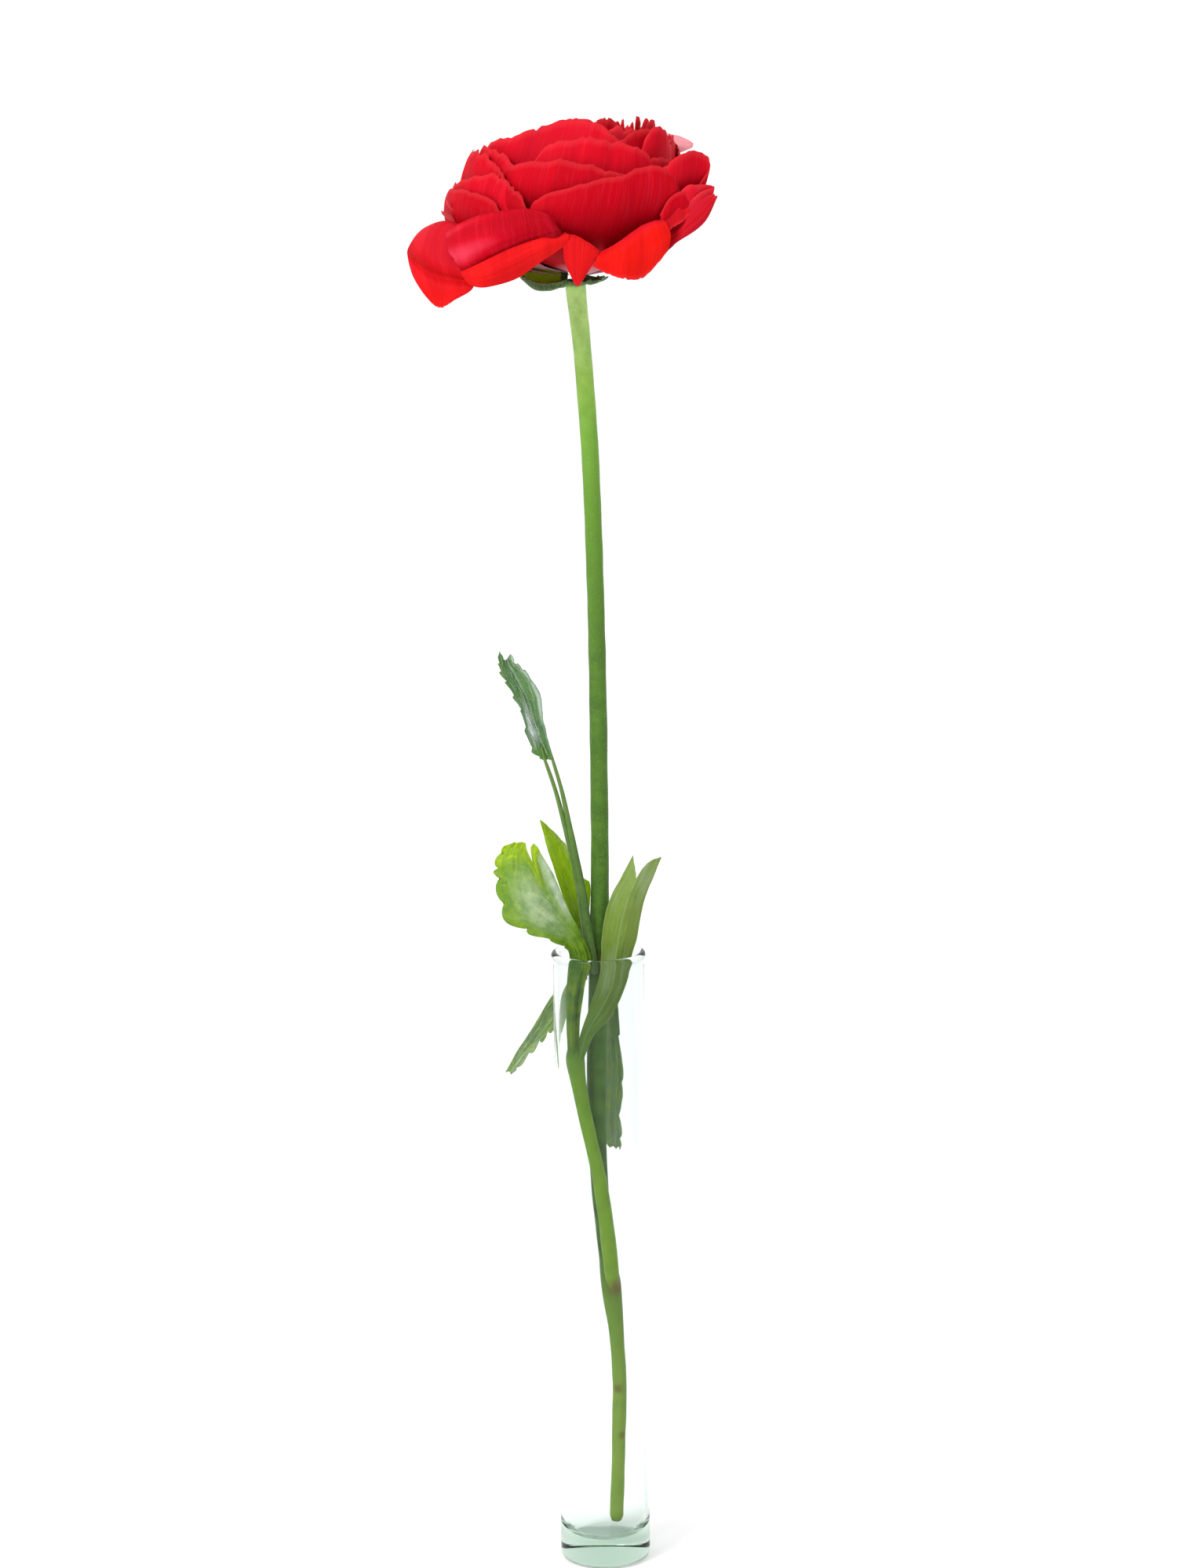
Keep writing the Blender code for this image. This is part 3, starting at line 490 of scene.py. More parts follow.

# %% [markdown]
# ## The petals that show
# Azimuth -90 faces the camera. First come the root's azimuth, the radius of the bulge and how
# high on the receptacle the petal springs, and its shade, from crimson to salmon: a high shade is
# partly a painted sheen and a low one partly painted shade, as each petal faces the light. Then
# its rim.

# %% Cupped petals with rims of their own
RIM_PETALS = {
    "front_low": (-84, 39, 2, 0.25, [
        (-117, 37, 21), (-115, 37, 27), (-99, 37, 31), (-81, 36.2, 33.6), (-64, 36, 36.5),
        (-51, 37.5, 34), (-45, 39, 26)]),
    "front_high": (-105, 35, 6, 0.3, [
        (-152, 33, 30), (-142, 33, 35.5), (-120, 33, 38), (-104, 33, 38.3), (-88, 33, 36.3),
        (-72, 33, 33.5), (-60, 33, 30)]),
    "left_low": (-130, 38, 3, 0.2, [
        (-154, 38, 20), (-148, 36.5, 27), (-141, 36, 33.5), (-132, 36.3, 31),
        (-123, 37.4, 28.2), (-115, 38.6, 23)]),
    "left_third": (-148, 41, 2, 0.22, [
        (-160, 36, 14), (-165, 38, 18.5), (-172, 41, 23.5), (-177, 42.8, 27.4),
        (-165, 42.5, 29.4), (-150, 41, 29.1), (-138, 40, 27.4), (-130, 39, 23)]),
    "left_second": (-155, 39, 3.5, 0.44, [
        (-184, 41, 25), (-173, 41, 30), (-156, 39.2, 32.2), (-143, 37.6, 34.2),
        (-134, 37, 33), (-127, 37, 28)]),
    "left_top": (-160, 37.5, 5, 0.36, [
        (-186, 38.5, 30), (-177, 39, 36), (-172, 38, 39.8), (-165, 37, 40.6),
        (-152, 36, 38.8), (-141, 35.6, 35.4), (-133, 35.6, 30)]),
    "upper_left_low": (-152, 35, 7, 0.45, [
        (-180, 35.5, 35), (-170, 35, 39.8), (-163, 34.6, 41.8), (-150, 33.3, 40),
        (-138, 32.6, 37.2), (-128, 32.6, 32)]),
    "upper_left": (-125, 29, 9, 0.56, [
        (-180, 34, 35), (-165, 33.2, 42.4), (-148, 28, 45.4), (-133, 23, 48.1),
        (-114, 19.6, 50), (-93, 18, 48.8), (-78, 20, 45.4), (-66, 22, 41)]),
    "upper_middle": (-90, 30.5, 7.5, 0.48, [
        (-131, 30.5, 34), (-122, 29.2, 41.6), (-104, 27.6, 44.6), (-88, 27, 44.3),
        (-72, 27, 42.4), (-59, 28.2, 40.3), (-51, 30, 34)]),
    "right_standing": (-46, 36.8, 3, 0.5, [
        (-64, 34.5, 31), (-55, 36, 35.8), (-46, 36.6, 39.2), (-40, 38, 39.9),
        (-35, 40.4, 39), (-33, 41.4, 35.5), (-38, 40.4, 29)]),
    "right_point": (-40, 40, 2.5, 0.7, [
        (-50, 39, 27), (-45, 40, 31.2), (-41, 41.2, 32.2), (-33, 43.6, 30.4),
        (-40, 42.6, 28.6), (-46, 40.5, 24.5)]),
    "right_under": (-49, 39, 2.2, 0.3, [
        (-56, 39, 22), (-53, 39.6, 26.6), (-48, 40.4, 28.6), (-44, 41.2, 27.2),
        (-43, 41.2, 23), (-45, 40.6, 19)]),
    "heart_front": (-52, 24, 13, 0.35, [
        (-92, 25, 36), (-78, 22.5, 42.0), (-64, 20.6, 45.6), (-46, 19.8, 46.6),
        (-30, 20.6, 46.2), (-18, 22.6, 42.6), (-12, 24, 37)]),
    "heart_inner_front": (-74, 17, 16, 0.75, [
        (-118, 18.0, 40), (-98, 16.6, 45.0), (-78, 16.0, 47.2), (-56, 16.0, 47.4),
        (-38, 17, 43)]),
    "heart_fold": (-34, 18.5, 15, 0.15, [
        (-58, 18, 42), (-46, 17.4, 46.6), (-32, 17.2, 48.2), (-20, 18, 47.0), (-8, 19.4, 42)]),
    "heart_right": (-40, 25, 14, 0.6, [
        (-56, 23.6, 40), (-51, 23.2, 45.4), (-45, 23.6, 47.2), (-38, 24.2, 46.8),
        (-33, 24.8, 44.2), (-30, 25.4, 38)]),
    "heart_round": (-80, 13, 20, 0.05, [
        (-122, 11.5, 44), (-100, 10.6, 49.2), (-80, 10.4, 50.3), (-62, 11, 48.8),
        (-44, 12, 44)]),
    "heart_spike": (-46, 11, 22, 0.6, [(-62, 10.5, 43), (-54, 10.2, 46), (-48, 10, 50),
                                       (-41, 10.2, 46), (-34, 10.5, 43)]),
    "heart_crest": (-28, 13.5, 20, 0.4, [
        (-52, 12, 44), (-38, 11.6, 48), (-27, 12, 49.7), (-14, 12.4, 47.6), (0, 13, 44)]),
    "heart_hook": (-16, 16.5, 19, 0.5, [
        (-42, 16, 43), (-28, 14.8, 48), (-18, 15.4, 48.6), (-12, 16.4, 49.5),
        (-8, 16.8, 46), (0, 17, 42)]),
}
print(len(RIM_PETALS), "petals have rims of their own")

# %% [markdown]
# The rims at the left ruffle more and have deeper nicks than the others. The small petals of
# the heart take a coarser grid.

# %% Make the petals that show
front = MeshMaker()
for name, (azimuth, bulge, lift, shade, rim) in RIM_PETALS.items():
    petal = (azimuth, bulge, lift, [Vector(p) for p in rim])
    width = math.radians(abs(rim[-1][0] - rim[0][0])) * bulge
    rows, columns, length = (36, 40, 30.0) if name.startswith("heart") else (44, 56, 45.0)
    ruffle, nicks = (0.8, 1.9) if name.startswith("left") else (0.5, 1.1)
    add_petal(front, lambda u, v: rim_point(petal, u, v), rows, columns, width, ruffle, nicks,
              length, shade=shade)
front.make("front_petals", PETAL, node="bloom")

# %% [markdown]
# ## The far side and the middle layers
# Behind those come petals that are seen only from the other sides, or as a rim between two
# others. They need no rims of their own: azimuth and half spread in degrees, radius of the
# bulge, radius and height of the rim, how far the rim's corners drop and how much it slants.

# %% Outer and middle layers
OUTER_CUPS = [
    (-170, 24, 37.5, 37, 33, 4.0, 0.0), (150, 28, 39, 40, 32, 5.0, 0.0),
    (112, 36, 38, 38, 34, 4.0, 0.0), (74, 34, 37, 37, 33, 4.0, 0.0),
    (44, 27, 35, 34, 33, 5.0, 0.0), (14, 22, 32, 29.5, 33, 5.0, 0.0),
    (-20, 16, 33, 31, 32, 5.0, 0.0)]
MIDDLE_CUPS = [
    (165, 42, 31, 27, 41, 5.0, 0.0), (115, 44, 31, 27, 42, 5.0, 0.0),
    (64, 44, 30, 26, 42, 5.0, 0.0), (18, 36, 28, 25, 40, 5.0, 0.0),
    (-30, 30, 30, 28, 36, 5.0, 0.0)]
# three more at the back bend outward: azimuth, half spread, height of the crest, reach, height
BENT_CUPS = [(128, 24, 17, 47, 6), (88, 24, 15, 45, 3), (60, 20, 17, 38, 8)]
MIDDLE_LEAN = 0.21
INSIDE_LIFT = 3                # a cup's second petal springs this much higher


def add_layer(maker, cups, lift, step, change, inner_lean, grid, inner_grid):
    """Adds a layer of cups, each with one more inside it that differs from it by change.
    lift: how high the first springs, and step: how much higher each next one."""
    for i, cup in enumerate(cups):
        base = lift + step * i
        width = 2 * cup[2] * math.radians(cup[1])
        add_petal(maker, lambda u, v: cup_point(cup, base, BLOOM_LEAN, u, v), *grid, width)
        inside = [value + more for value, more in zip(cup, change)]
        add_petal(maker, lambda u, v: cup_point(inside, base + INSIDE_LIFT, inner_lean, u, v),
                  *inner_grid, width)


outer = MeshMaker()
add_layer(outer, OUTER_CUPS, 2.0, 0.25, (12, 0, -2.4, -2.6, 2.0, 0, 0), BLOOM_LEAN,
          (40, 44), (36, 40))
for petal in BENT_CUPS:
    add_petal(outer, lambda u, v: bent_point(petal, u, v), 40, 40, 34, ruffle=1.2,
              cupped=False)
outer.make("outer_petals", PETAL, node="bloom")

middle = MeshMaker()
add_layer(middle, MIDDLE_CUPS, 8.0, 0.3, (-14, 0, -3, -3.2, 1.8, 0, 0), MIDDLE_LEAN,
          (34, 40), (32, 36))
middle.make("middle_petals", PETAL, node="bloom")

# %% [markdown]
# ## The heart
# Towards the middle the petals get small, stiff and ragged, and crowd round the pistils. They
# follow the golden angle, each a little further in and higher than the last. The heart leans
# more than the outer petals do, because the bloom turns its face a little to that side.

# %% Heart petals
HEART_PETALS = 58
HEART_LEAN = 0.30
heart = MeshMaker()
for i in range(HEART_PETALS):
    t = i / (HEART_PETALS - 1)
    dome = 42.2 + 3.2 * math.sin(math.pi * min(t, 0.8)) - 1.0 * t
    cup = (40 + GOLDEN_ANGLE * i, 34 + 16 * t, 21.5 - 17 * t, 19.5 - 16.5 * t,
           dome + draw.uniform(-1.4, 1.4), 5.0, draw.uniform(-1.6, 1.6))
    lift = 15.0 + 12.0 * t
    add_petal(heart, lambda u, v: cup_point(cup, lift, HEART_LEAN, u, v), 20, 22, 26 - 18 * t,
              ruffle=0.8, nicks=1.5, length_mm=26.0, shade=draw.uniform(0.1, 0.9))
heart.make("heart_petals", PETAL, node="bloom")

# %% [markdown]
# ## The petals that have bent back
# As the bloom ages its lowest petals roll outward. Each did so in its own way, so each has a net
# of its own: rows from the root to the tip, and in each row points from one edge to the other,
# in mm from the foot of the bloom.

# %% Bent-back petals
BENT_NETS = {
    "hanging_left": [
        [(-4.4, 3.1, 3.4), (-4.6, -0.4, 2.6), (-3.2, -3.4, 2.7)],
        [(-24, 3, 14), (-23, -8, 12.5), (-20, -15, 11)],
        [(-42.5, -6, 17.6), (-39, -14, 19.0), (-33.5, -20, 16.8)],
        [(-50.2, -9, 11), (-44.5, -20, 10.0), (-33, -26, 8)],
        [(-49.4, -16, 4.6), (-42.6, -25, 2.2), (-30.5, -30, 2.6)],
        [(-46.2, -21.5, -1.0), (-41, -26.5, -3.4), (-31.0, -31.5, -0.2)],
        [(-42.6, -26, -4.9), (-40.4, -28, -5.8), (-36.0, -30.5, -3.2)]],
    "folded_left": [
        [(-5, -2, 5.5), (-4.5, -3, 5.2), (-3.6, -4.2, 4.8), (-2.6, -4.8, 4.2), (-1.8, -5.0, 3.4)],
        [(-9, -35, 15.4), (-6.4, -38.2, 20.4), (-5, -39.6, 18.8), (-3.6, -39.0, 16.6),
         (-4.2, -37.6, 13.6)],
        [(-13.5, -33.5, 18), (-13.0, -37.4, 23.8), (-12.2, -39.8, 19.8), (-11.6, -39.2, 15.2),
         (-11.6, -37.4, 11.6)],
        [(-20, -31, 18.5), (-20.4, -34.8, 23.3), (-19.8, -38.6, 17.8), (-19.2, -38.0, 12.2),
         (-18.8, -36.4, 8.4)],
        [(-26.5, -27, 17), (-28.4, -31.2, 21.7), (-28.2, -36.4, 15.0), (-27.2, -35.8, 8.4),
         (-26.6, -34.2, 4.8)],
        [(-31, -23, 15), (-34, -27.4, 19.2), (-33.6, -33.0, 12.4), (-31.6, -34.4, 6.2),
         (-31.0, -33.0, 3.6)],
        [(-36, -20, 12.5), (-38.8, -22.6, 16.2), (-37.6, -29.0, 10.8), (-34, -33.2, 6.0),
         (-33.2, -32.6, 4.2)]],
    "folded_left_band": [
        [(-1.6, -36.5, 14.8), (-1.6, -38.8, 16.6), (-1.6, -39.8, 15.6), (-2.0, -39.4, 13.8)],
        [(-5.6, -37.4, 13.8), (-5.4, -39.6, 16.4), (-5.4, -41.2, 14.6), (-5.8, -39.8, 11.4)],
        [(-11.6, -37.4, 12.0), (-11.4, -40.0, 15.2), (-11.2, -41.9, 12.2), (-10.8, -39.8, 8.2)],
        [(-19.0, -36.6, 9.2), (-19.0, -39.2, 12.5), (-18.6, -41.3, 8.6), (-17.6, -38.9, 3.6)],
        [(-26.6, -34.6, 5.2), (-27.2, -37.2, 8.6), (-26.8, -39.4, 5.2), (-26, -37.8, 1.2)],
        [(-30.8, -33.4, 3.8), (-31.7, -35.8, 6.4), (-31.4, -37.2, 4.2), (-30.2, -36.6, 1.4)],
        [(-33.0, -33.2, 4.0), (-34.2, -34.4, 5.4), (-33.6, -35.0, 4.2), (-32.4, -35.0, 2.8)]],
    "slim_left": [
        [(-20, -7, 14), (-20, -10, 13), (-20, -13, 12)],
        [(-29, -10, 18.4), (-29, -12, 17), (-29, -14.4, 15.6)],
        [(-34.5, -11, 22.4), (-34.4, -12.4, 20.8), (-34.0, -14, 19.6)],
        [(-38.6, -11.4, 25.2), (-38.5, -12.2, 24.6), (-38.3, -13, 24.0)]],
    "slim_low": [
        [(-20, -8, 11), (-20, -10, 10), (-20, -12, 9)],
        [(-30.6, -11, 16.4), (-30.6, -12.5, 15.2), (-30.6, -14, 14.0)],
        [(-36, -11.5, 20.0), (-36, -12.6, 18.8), (-35.8, -13.8, 17.6)],
        [(-40.2, -11.6, 22.2), (-40.1, -12.4, 21.8), (-39.9, -13, 21.2)]],
    "pale_right": [
        [(4, 1, 8), (5, 2, 8), (5.5, 3, 8)],
        [(17, 3, 26), (18, 8, 27), (18, 13, 28)],
        [(24.5, 4, 35.4), (25, 9, 39.0), (25.5, 14, 41.8)],
        [(29.0, 5, 36.6), (30, 9, 39.8), (31, 13, 42.4)],
        [(33.4, 7, 37.8), (34.4, 9, 39.6), (34.6, 12, 41.2)],
        [(36.2, 8, 38.8), (36.6, 9, 39.4), (36.6, 10, 40.0)]],
    "folded_tip": [
        [(0, -5, 3.6), (1.5, -5, 3.5), (3, -5, 3.6)],
        [(-3, -34, 14.5), (2, -35, 13.5), (7, -34, 10)],
        [(-3.2, -38.8, 16.8), (1.8, -39.6, 15.0), (7.2, -38.6, 11.1)],
        [(-3.0, -40.2, 9.2), (1.4, -41.0, 8.2), (5.2, -39.8, 7.4)],
        [(0.1, -39.4, 1.5), (0.8, -39.5, 1.1), (1.5, -39.4, 1.5)]],
    "rolled_right": [
        [(2, -5, 3.4), (3.5, -4, 3.4), (4.5, -3, 3.4), (5, -1, 3.4)],
        [(9, -29, 10), (15, -28, 12.5), (21, -25, 15), (25, -19, 17)],
        [(7.0, -38.6, 10.6), (13.7, -38.8, 14.4), (20.5, -37.4, 18.8), (26.6, -34.4, 20.2)],
        [(6.4, -40.6, 9), (13, -41.6, 9.2), (21, -40.2, 11.4), (28.6, -36.4, 16)],
        [(5.2, -39.6, 7.1), (12.2, -41.2, 3.9), (20.4, -39.8, 3.3), (27.6, -36.2, 11)]],
    "inner_right": [
        [(4, -3, 3.0), (5, -2, 3.0), (6, 0, 3.0)],
        [(23, -19, 9), (25.5, -16, 13), (27, -12, 17)],
        [(25.5, -31.0, 20.2), (30.5, -28.5, 23.8), (35, -24.5, 25.8)],
        [(27.6, -34.0, 16.4), (32.4, -31.4, 19.4), (36.4, -27.4, 22)]],
    "pointed_right": [
        [(5, -3, 2.0), (6, -1, 1.8), (6, 1, 2.0)],
        [(22, -26, 8), (22, -22, 10.5), (22, -15, 13.5)],
        [(31, -32.4, 13.6), (31, -30.6, 17), (30.5, -26.6, 19.6)],
        [(38.8, -28.4, 18.8), (37, -28.6, 22.2), (35.4, -27, 25.4)],
        [(43.0, -26, 26.4), (42.2, -26, 27), (40, -26, 26.6)]],
}
print(len(BENT_NETS), "bent-back petals")

# %% [markdown]
# Where such a petal shows its inner face to the light it is nearly orange: partly the inner
# skin's own scarlet, partly painted light on its lit and lit-through parts. A fold or a crease
# gets painted shade in its valley and a painted highlight on its crest, so some shades vary over
# the sheet. The folded petal is made as two sheets, its face and the band below its fold,
# because the fold between them is sharp.

# %% Their scarlet and painted light, painted shade and creases
BENT_SCARLET_AND_LIGHT = {            # how scarlet each one's face is at each place of its net: its own colour and painted light
    "hanging_left": lambda u, v: 0.3 + 0.6 * smooth_step((v - 0.5) * 3),
    "folded_left": lambda u, v: 0.0,
    "folded_left_band": lambda u, v: 0.85,
    "slim_left": lambda u, v: 0.3,
    "slim_low": lambda u, v: 0.3,
    "pale_right": lambda u, v: 0.2,
    "folded_tip": lambda u, v: 0.8,
    "rolled_right": lambda u, v: 0.15 + 0.85 * smooth_step((v - 0.45) * 5),
    "inner_right": lambda u, v: 0.55,
    # the pointed petal gets a painted highlight along its fold
    "pointed_right": lambda u, v: 0.15 + 0.6 * ridge(u, -0.35, 0.12),
}


def fold_painted_light(u, v):
    """Painted light of the folded petal's face: a painted highlight along its crest, a painted
    sheen where it rolls away at its left, and painted shade in the valley over the fold."""
    crest = 0.3 * v * ridge(u, -0.38, 0.08)
    rolled = 0.55 * smooth_step((v - 0.35) * 2) * ridge(u, 0.12, 0.2)
    return 0.14 + 0.3 * v + crest + rolled - 0.4 * smooth_step((u - 0.32) * 6)


# painted light and shade of the bent petals: the folded face's, and painted shade along the hanging
# petal's crease
BENT_PAINTED_LIGHT = {"folded_left": fold_painted_light,
               "hanging_left": lambda u, v: 0.62 - 0.5 * ridge(v, 0.60 + 0.07 * u, 0.05)}
BENT_PALE = {"pale_right": 0.8, "slim_left": 0.12, "slim_low": 0.18}
# how far along each crease runs, how it slants across, its half width and its depth
CREASES = {"hanging_left": (0.62, 0.07, 0.045, 1.9), "rolled_right": (0.52, -0.05, 0.06, 1.2)}


def creased(name, point, u, v):
    """Presses a petal's crease into a point of its sheet."""
    if name not in CREASES:
        return point
    middle, slope, width, depth = CREASES[name]
    return point + Vector((0, depth * ridge(v, middle + slope * u, width), 0))


print("creased:", ", ".join(CREASES))

# %% [markdown]
# The folded petal lies across its net, so its streaks run from one edge to the other instead
# of from root to tip. The slim ones show only their tips and take a coarse grid.

# %% Make the bent-back petals
CROSS_STREAKS = {"across": lambda u, v: 2 * v - 1,
                 "along": lambda u, v: (0.35 + 0.25 * (u + 1)) * smooth_step(v * 6)}
BAND_STREAKS = {"across": lambda u, v: 2 * v - 1, "along": lambda u, v: 0.6 + 0.18 * (u + 1)}
bent = MeshMaker()
for name, net in BENT_NETS.items():
    rows = [[BLOOM_BASE + Vector(p) for p in row] for row in net]
    streaks = {"folded_left": CROSS_STREAKS, "folded_left_band": BAND_STREAKS}.get(name, {})
    grid, ruffle, nicks = ((24, 20), 0.1, 0.3) if name.startswith("slim") else ((76, 72), 0.25, 1.0)
    width = 46 if streaks else 22
    add_petal(bent, lambda u, v: creased(name, net_point(rows, u, v), u, v), *grid, width,
              ruffle, nicks, shade=BENT_PAINTED_LIGHT.get(name, 0.62), warm=BENT_SCARLET_AND_LIGHT[name],
              pale=BENT_PALE.get(name, 0.0), cupped=False, **streaks)
bent.make("bent_back_petals", PETAL, node="bloom")

# %% [markdown]
# ## Green tissue
# Leaf, sepal and stalk are all green tissue under a waxy skin. They differ in how dark the green
# is, how strongly it shines and how much light comes through. One function makes each of them
# from its colours, so the recipe is written once.

# %% Green tissue
def green_material(name, stops, vein, roughness, through_share, glow, speck="B9CC86",
                   ruler="along", mottle_share=0.4, fleck="C8DC10", fleck_share=0.0):
    """stops: the colours along the ruler; vein: the colour of its veins; glow: what shines
    through and mottles it; speck: the dots of its hair roots; fleck: yellowed spots. Where
    the attribute silver is up, a painted sheen of silvery white is mixed into the colour."""
    m = new_material(name)
    ruled, veins, brown, silver = [add(m, "Attribute", attribute_name=name).outputs["Fac"]
                                   for name in (ruler, "veins", "brown", "silver")]
    place = add(m, "TexCoord").outputs["Object"]
    mottle = add(m, "TexNoise", Vector=place, Scale=210.0, Detail=5.0, Roughness=0.65)
    flecks = add(m, "TexNoise", Vector=place, Scale=330.0, Detail=3.0, Distortion=1.2)
    cells = add(m, "TexNoise", Vector=place, Scale=1700.0, Detail=3.0, Roughness=0.6)
    base = add(m, "ValToRGB", ruled, stops=stops)
    mottled = mix(m, add(m, "MapRange", mottle, 0.38, 0.68, 0.0, mottle_share), base, glow)
    fleck_edge = add(m, "MapRange", ruled, 0.30, 0.70, 0.76, 0.55)
    flecked = mix(m, add(m, "MapRange", flecks, fleck_edge, 0.80, 0.0, fleck_share), mottled,
                  fleck)
    veined = mix(m, times(m, veins, 0.6), flecked, vein)
    speckled = mix(m, add(m, "MapRange", cells, 0.60, 0.74, 0.0, 0.20), veined, speck)
    browned = mix(m, brown, speckled, "6A4A2C")
    # painted sheen: silvery white mixed into the colour where silver is up
    sheen = times(m, silver, add(m, "MapRange", mottle, 0.30, 0.62, 0.35, 1.0))
    colour = mix(m, sheen, browned, "E2EBEA")
    height = add(m, "Math", veins, -0.8, times(m, cells, 0.5), operation="MULTIPLY_ADD")
    bump = add(m, "Bump", Height=height, Strength=0.6, Distance=0.0003)
    skin = add(m, "BsdfPrincipled", Base_Color=colour, Roughness=roughness, IOR=1.45,
               Specular_IOR_Level=0.16, Normal=bump)
    light = add(m, "BsdfTranslucent", mix(m, 0.5, colour, glow))
    add(m, "OutputMaterial", add(m, "MixShader", through_share, skin, light))
    return m


SEPAL = green_material("ranunculus_sepal", [(0.0, "4A6234"), (0.5, "3E5430"), (1.0, "38492C")],
                       "8CA080", 0.55, 0.10, "5E7C3A", speck="93A08A")
# the lining's near-full yellow-green is its own colour plus a painted glow for light through the
# sepal
SEPAL_LINING_GLOW = green_material("sepal_lining_painted_glow", [(0.0, "C8F020"), (0.5, "D0F424"), (1.0, "BCDC30")],
                              "E0F080", 0.22, 0.45, "D8F840", speck="D0EC70")
print("sepal tissue of", len(SEPAL.node_tree.nodes), "nodes")

# %% [markdown]
# ## The stalk
# The stalk is hollow in life, firm and covered in fine short hairs. It is bright and pale under
# the bloom, deeper green lower down, and yellower below the node where the side shoot forks off.

# %% Stalk and side shoot: their skins and ways
STALK = green_material("ranunculus_stalk", [
    (0.0, "8FAA48"), (0.14, "7F9C3A"), (0.20, "6C8A30"), (0.25, "3C5A1C"), (0.49, "3A591C"),
    (0.58, "41631F"), (0.68, "456626"), (0.75, "4E7028"), (0.84, "608A2E"), (0.89, "72A03A"),
    (0.93, "8EB64E"), (0.955, "A8CE70"), (0.99, "B6DA80")],
    "DCE8B0", 0.42, 0.06, "5C8A2C", ruler="level", mottle_share=0.45)
SHOOT = green_material("side_shoot", [(0.0, "7C9838"), (0.2, "7CA028"), (0.8, "668E18"),
                                      (1.0, "4A701C")],
                       "DCE8B0", 0.36, 0.06, "4E7C16", mottle_share=0.5)
STALK_ROUTE = [Vector(p) for p in (
    (3.7, 8.6, 8.3), (4.4, 8.2, 26), (4.9, 7.6, 40), (5.2, 7.0, 56), (4.4, 6.2, 72),
    (2.9, 5.2, 88), (1.4, 4.8, 100), (-0.2, 4.4, 118), (-1.2, 3.9, 140),
    (-1.0, 3.4, 162), (-0.3, 2.9, 184), (0.5, 2.4, 206), (0.9, 1.9, 230),
    (0.9, 1.4, 262), (0.8, 1.0, 294), (0.3, 0.6, 325), (-0.4, 0.2, 352),
    (-1.4, -0.1, 372), (-2.5, -0.3, 388), (-3.6, -0.4, 400), (-4.5, -0.5, STALK_TOP + 1))]
STALK_RADII = [2.3, 2.2, 2.3, 2.3, 2.4, 3.2, 2.5, 2.7, 3.0, 3.1, 3.1, 3.0, 2.8,
               2.75, 2.7, 2.65, 2.65, 2.7, 2.75, 2.9, 3.2]
SHOOT_ROUTE = [Vector(p) for p in (
    (3.6, 5.6, 80), (3.3, 4.2, 88), (2.7, 1.9, 98), (1.6, -0.4, 110), (-0.2, -1.9, 124),
    (-2.7, -2.4, 137), (-5.2, -2.3, 149), (-6.9, -2.2, 159), (-7.7, -2.3, 166),
    (-7.9, -2.6, 171))]
SHOOT_RADII = [1.2, 2.1, 2.4, 2.4, 2.2, 2.1, 2.2, 2.5, 2.9, 1.4]
print("the stalk passes through", len(STALK_ROUTE), "points and the shoot", len(SHOOT_ROUTE))

# %% [markdown]
# The stalk has a few brown spots, at its nodes, at its cut end and low down on it. Such a spot
# fades out over a few millimetres, so it is worked out for each vertex from its distance.

# %% Scars, and the stalk made
# middle and radius of each scar
BROWN_SCARS = [(Vector((4.6, 2.2, 89)), 3.4), (Vector((4.6, 5.0, 54)), 1.7),
               (Vector((6.0, 5.2, 38)), 1.5), (Vector((-1.6, -1.4, 199)), 2.2),
               (Vector((-1.0, -0.6, 193)), 1.4), (Vector((3.7, 8.6, 7.5)), 1.8)]
SCAR_BROWN = 0.8


def mark_scars(maker):
    """Browns each vertex near a scar, less the further off it is."""
    for points, (size, values) in zip(maker.points, maker.values):
        reach = [np.linalg.norm(points - np.array(place), axis=1) / radius
                 for place, radius in BROWN_SCARS]
        values["brown"] = SCAR_BROWN * np.clip(1.2 - np.min(reach, axis=0), 0, 1)


stalk = MeshMaker()
add_tube(stalk, STALK_ROUTE, STALK_RADII, 420, 32, wobble=0.16, veins=0.0)
mark_scars(stalk)
stalk.make("stalk", STALK, node="stem")
shoot = MeshMaker()
add_tube(shoot, SHOOT_ROUTE, SHOOT_RADII, 160, 28, wobble=0.14, veins=0.0)
mark_scars(shoot)
shoot.make("side_shoot", SHOOT, node="stem")

# %% [markdown]
# ## Sepals
# Five grey-green sepals, thick with silky hairs, fold down under an open bloom. The one on the
# left is a deep boat, glossy and yellow-green inside. The others follow one rule: azimuth,
# length, half width, the angle that they leave at, the angle of the tip, and a sideways tilt.

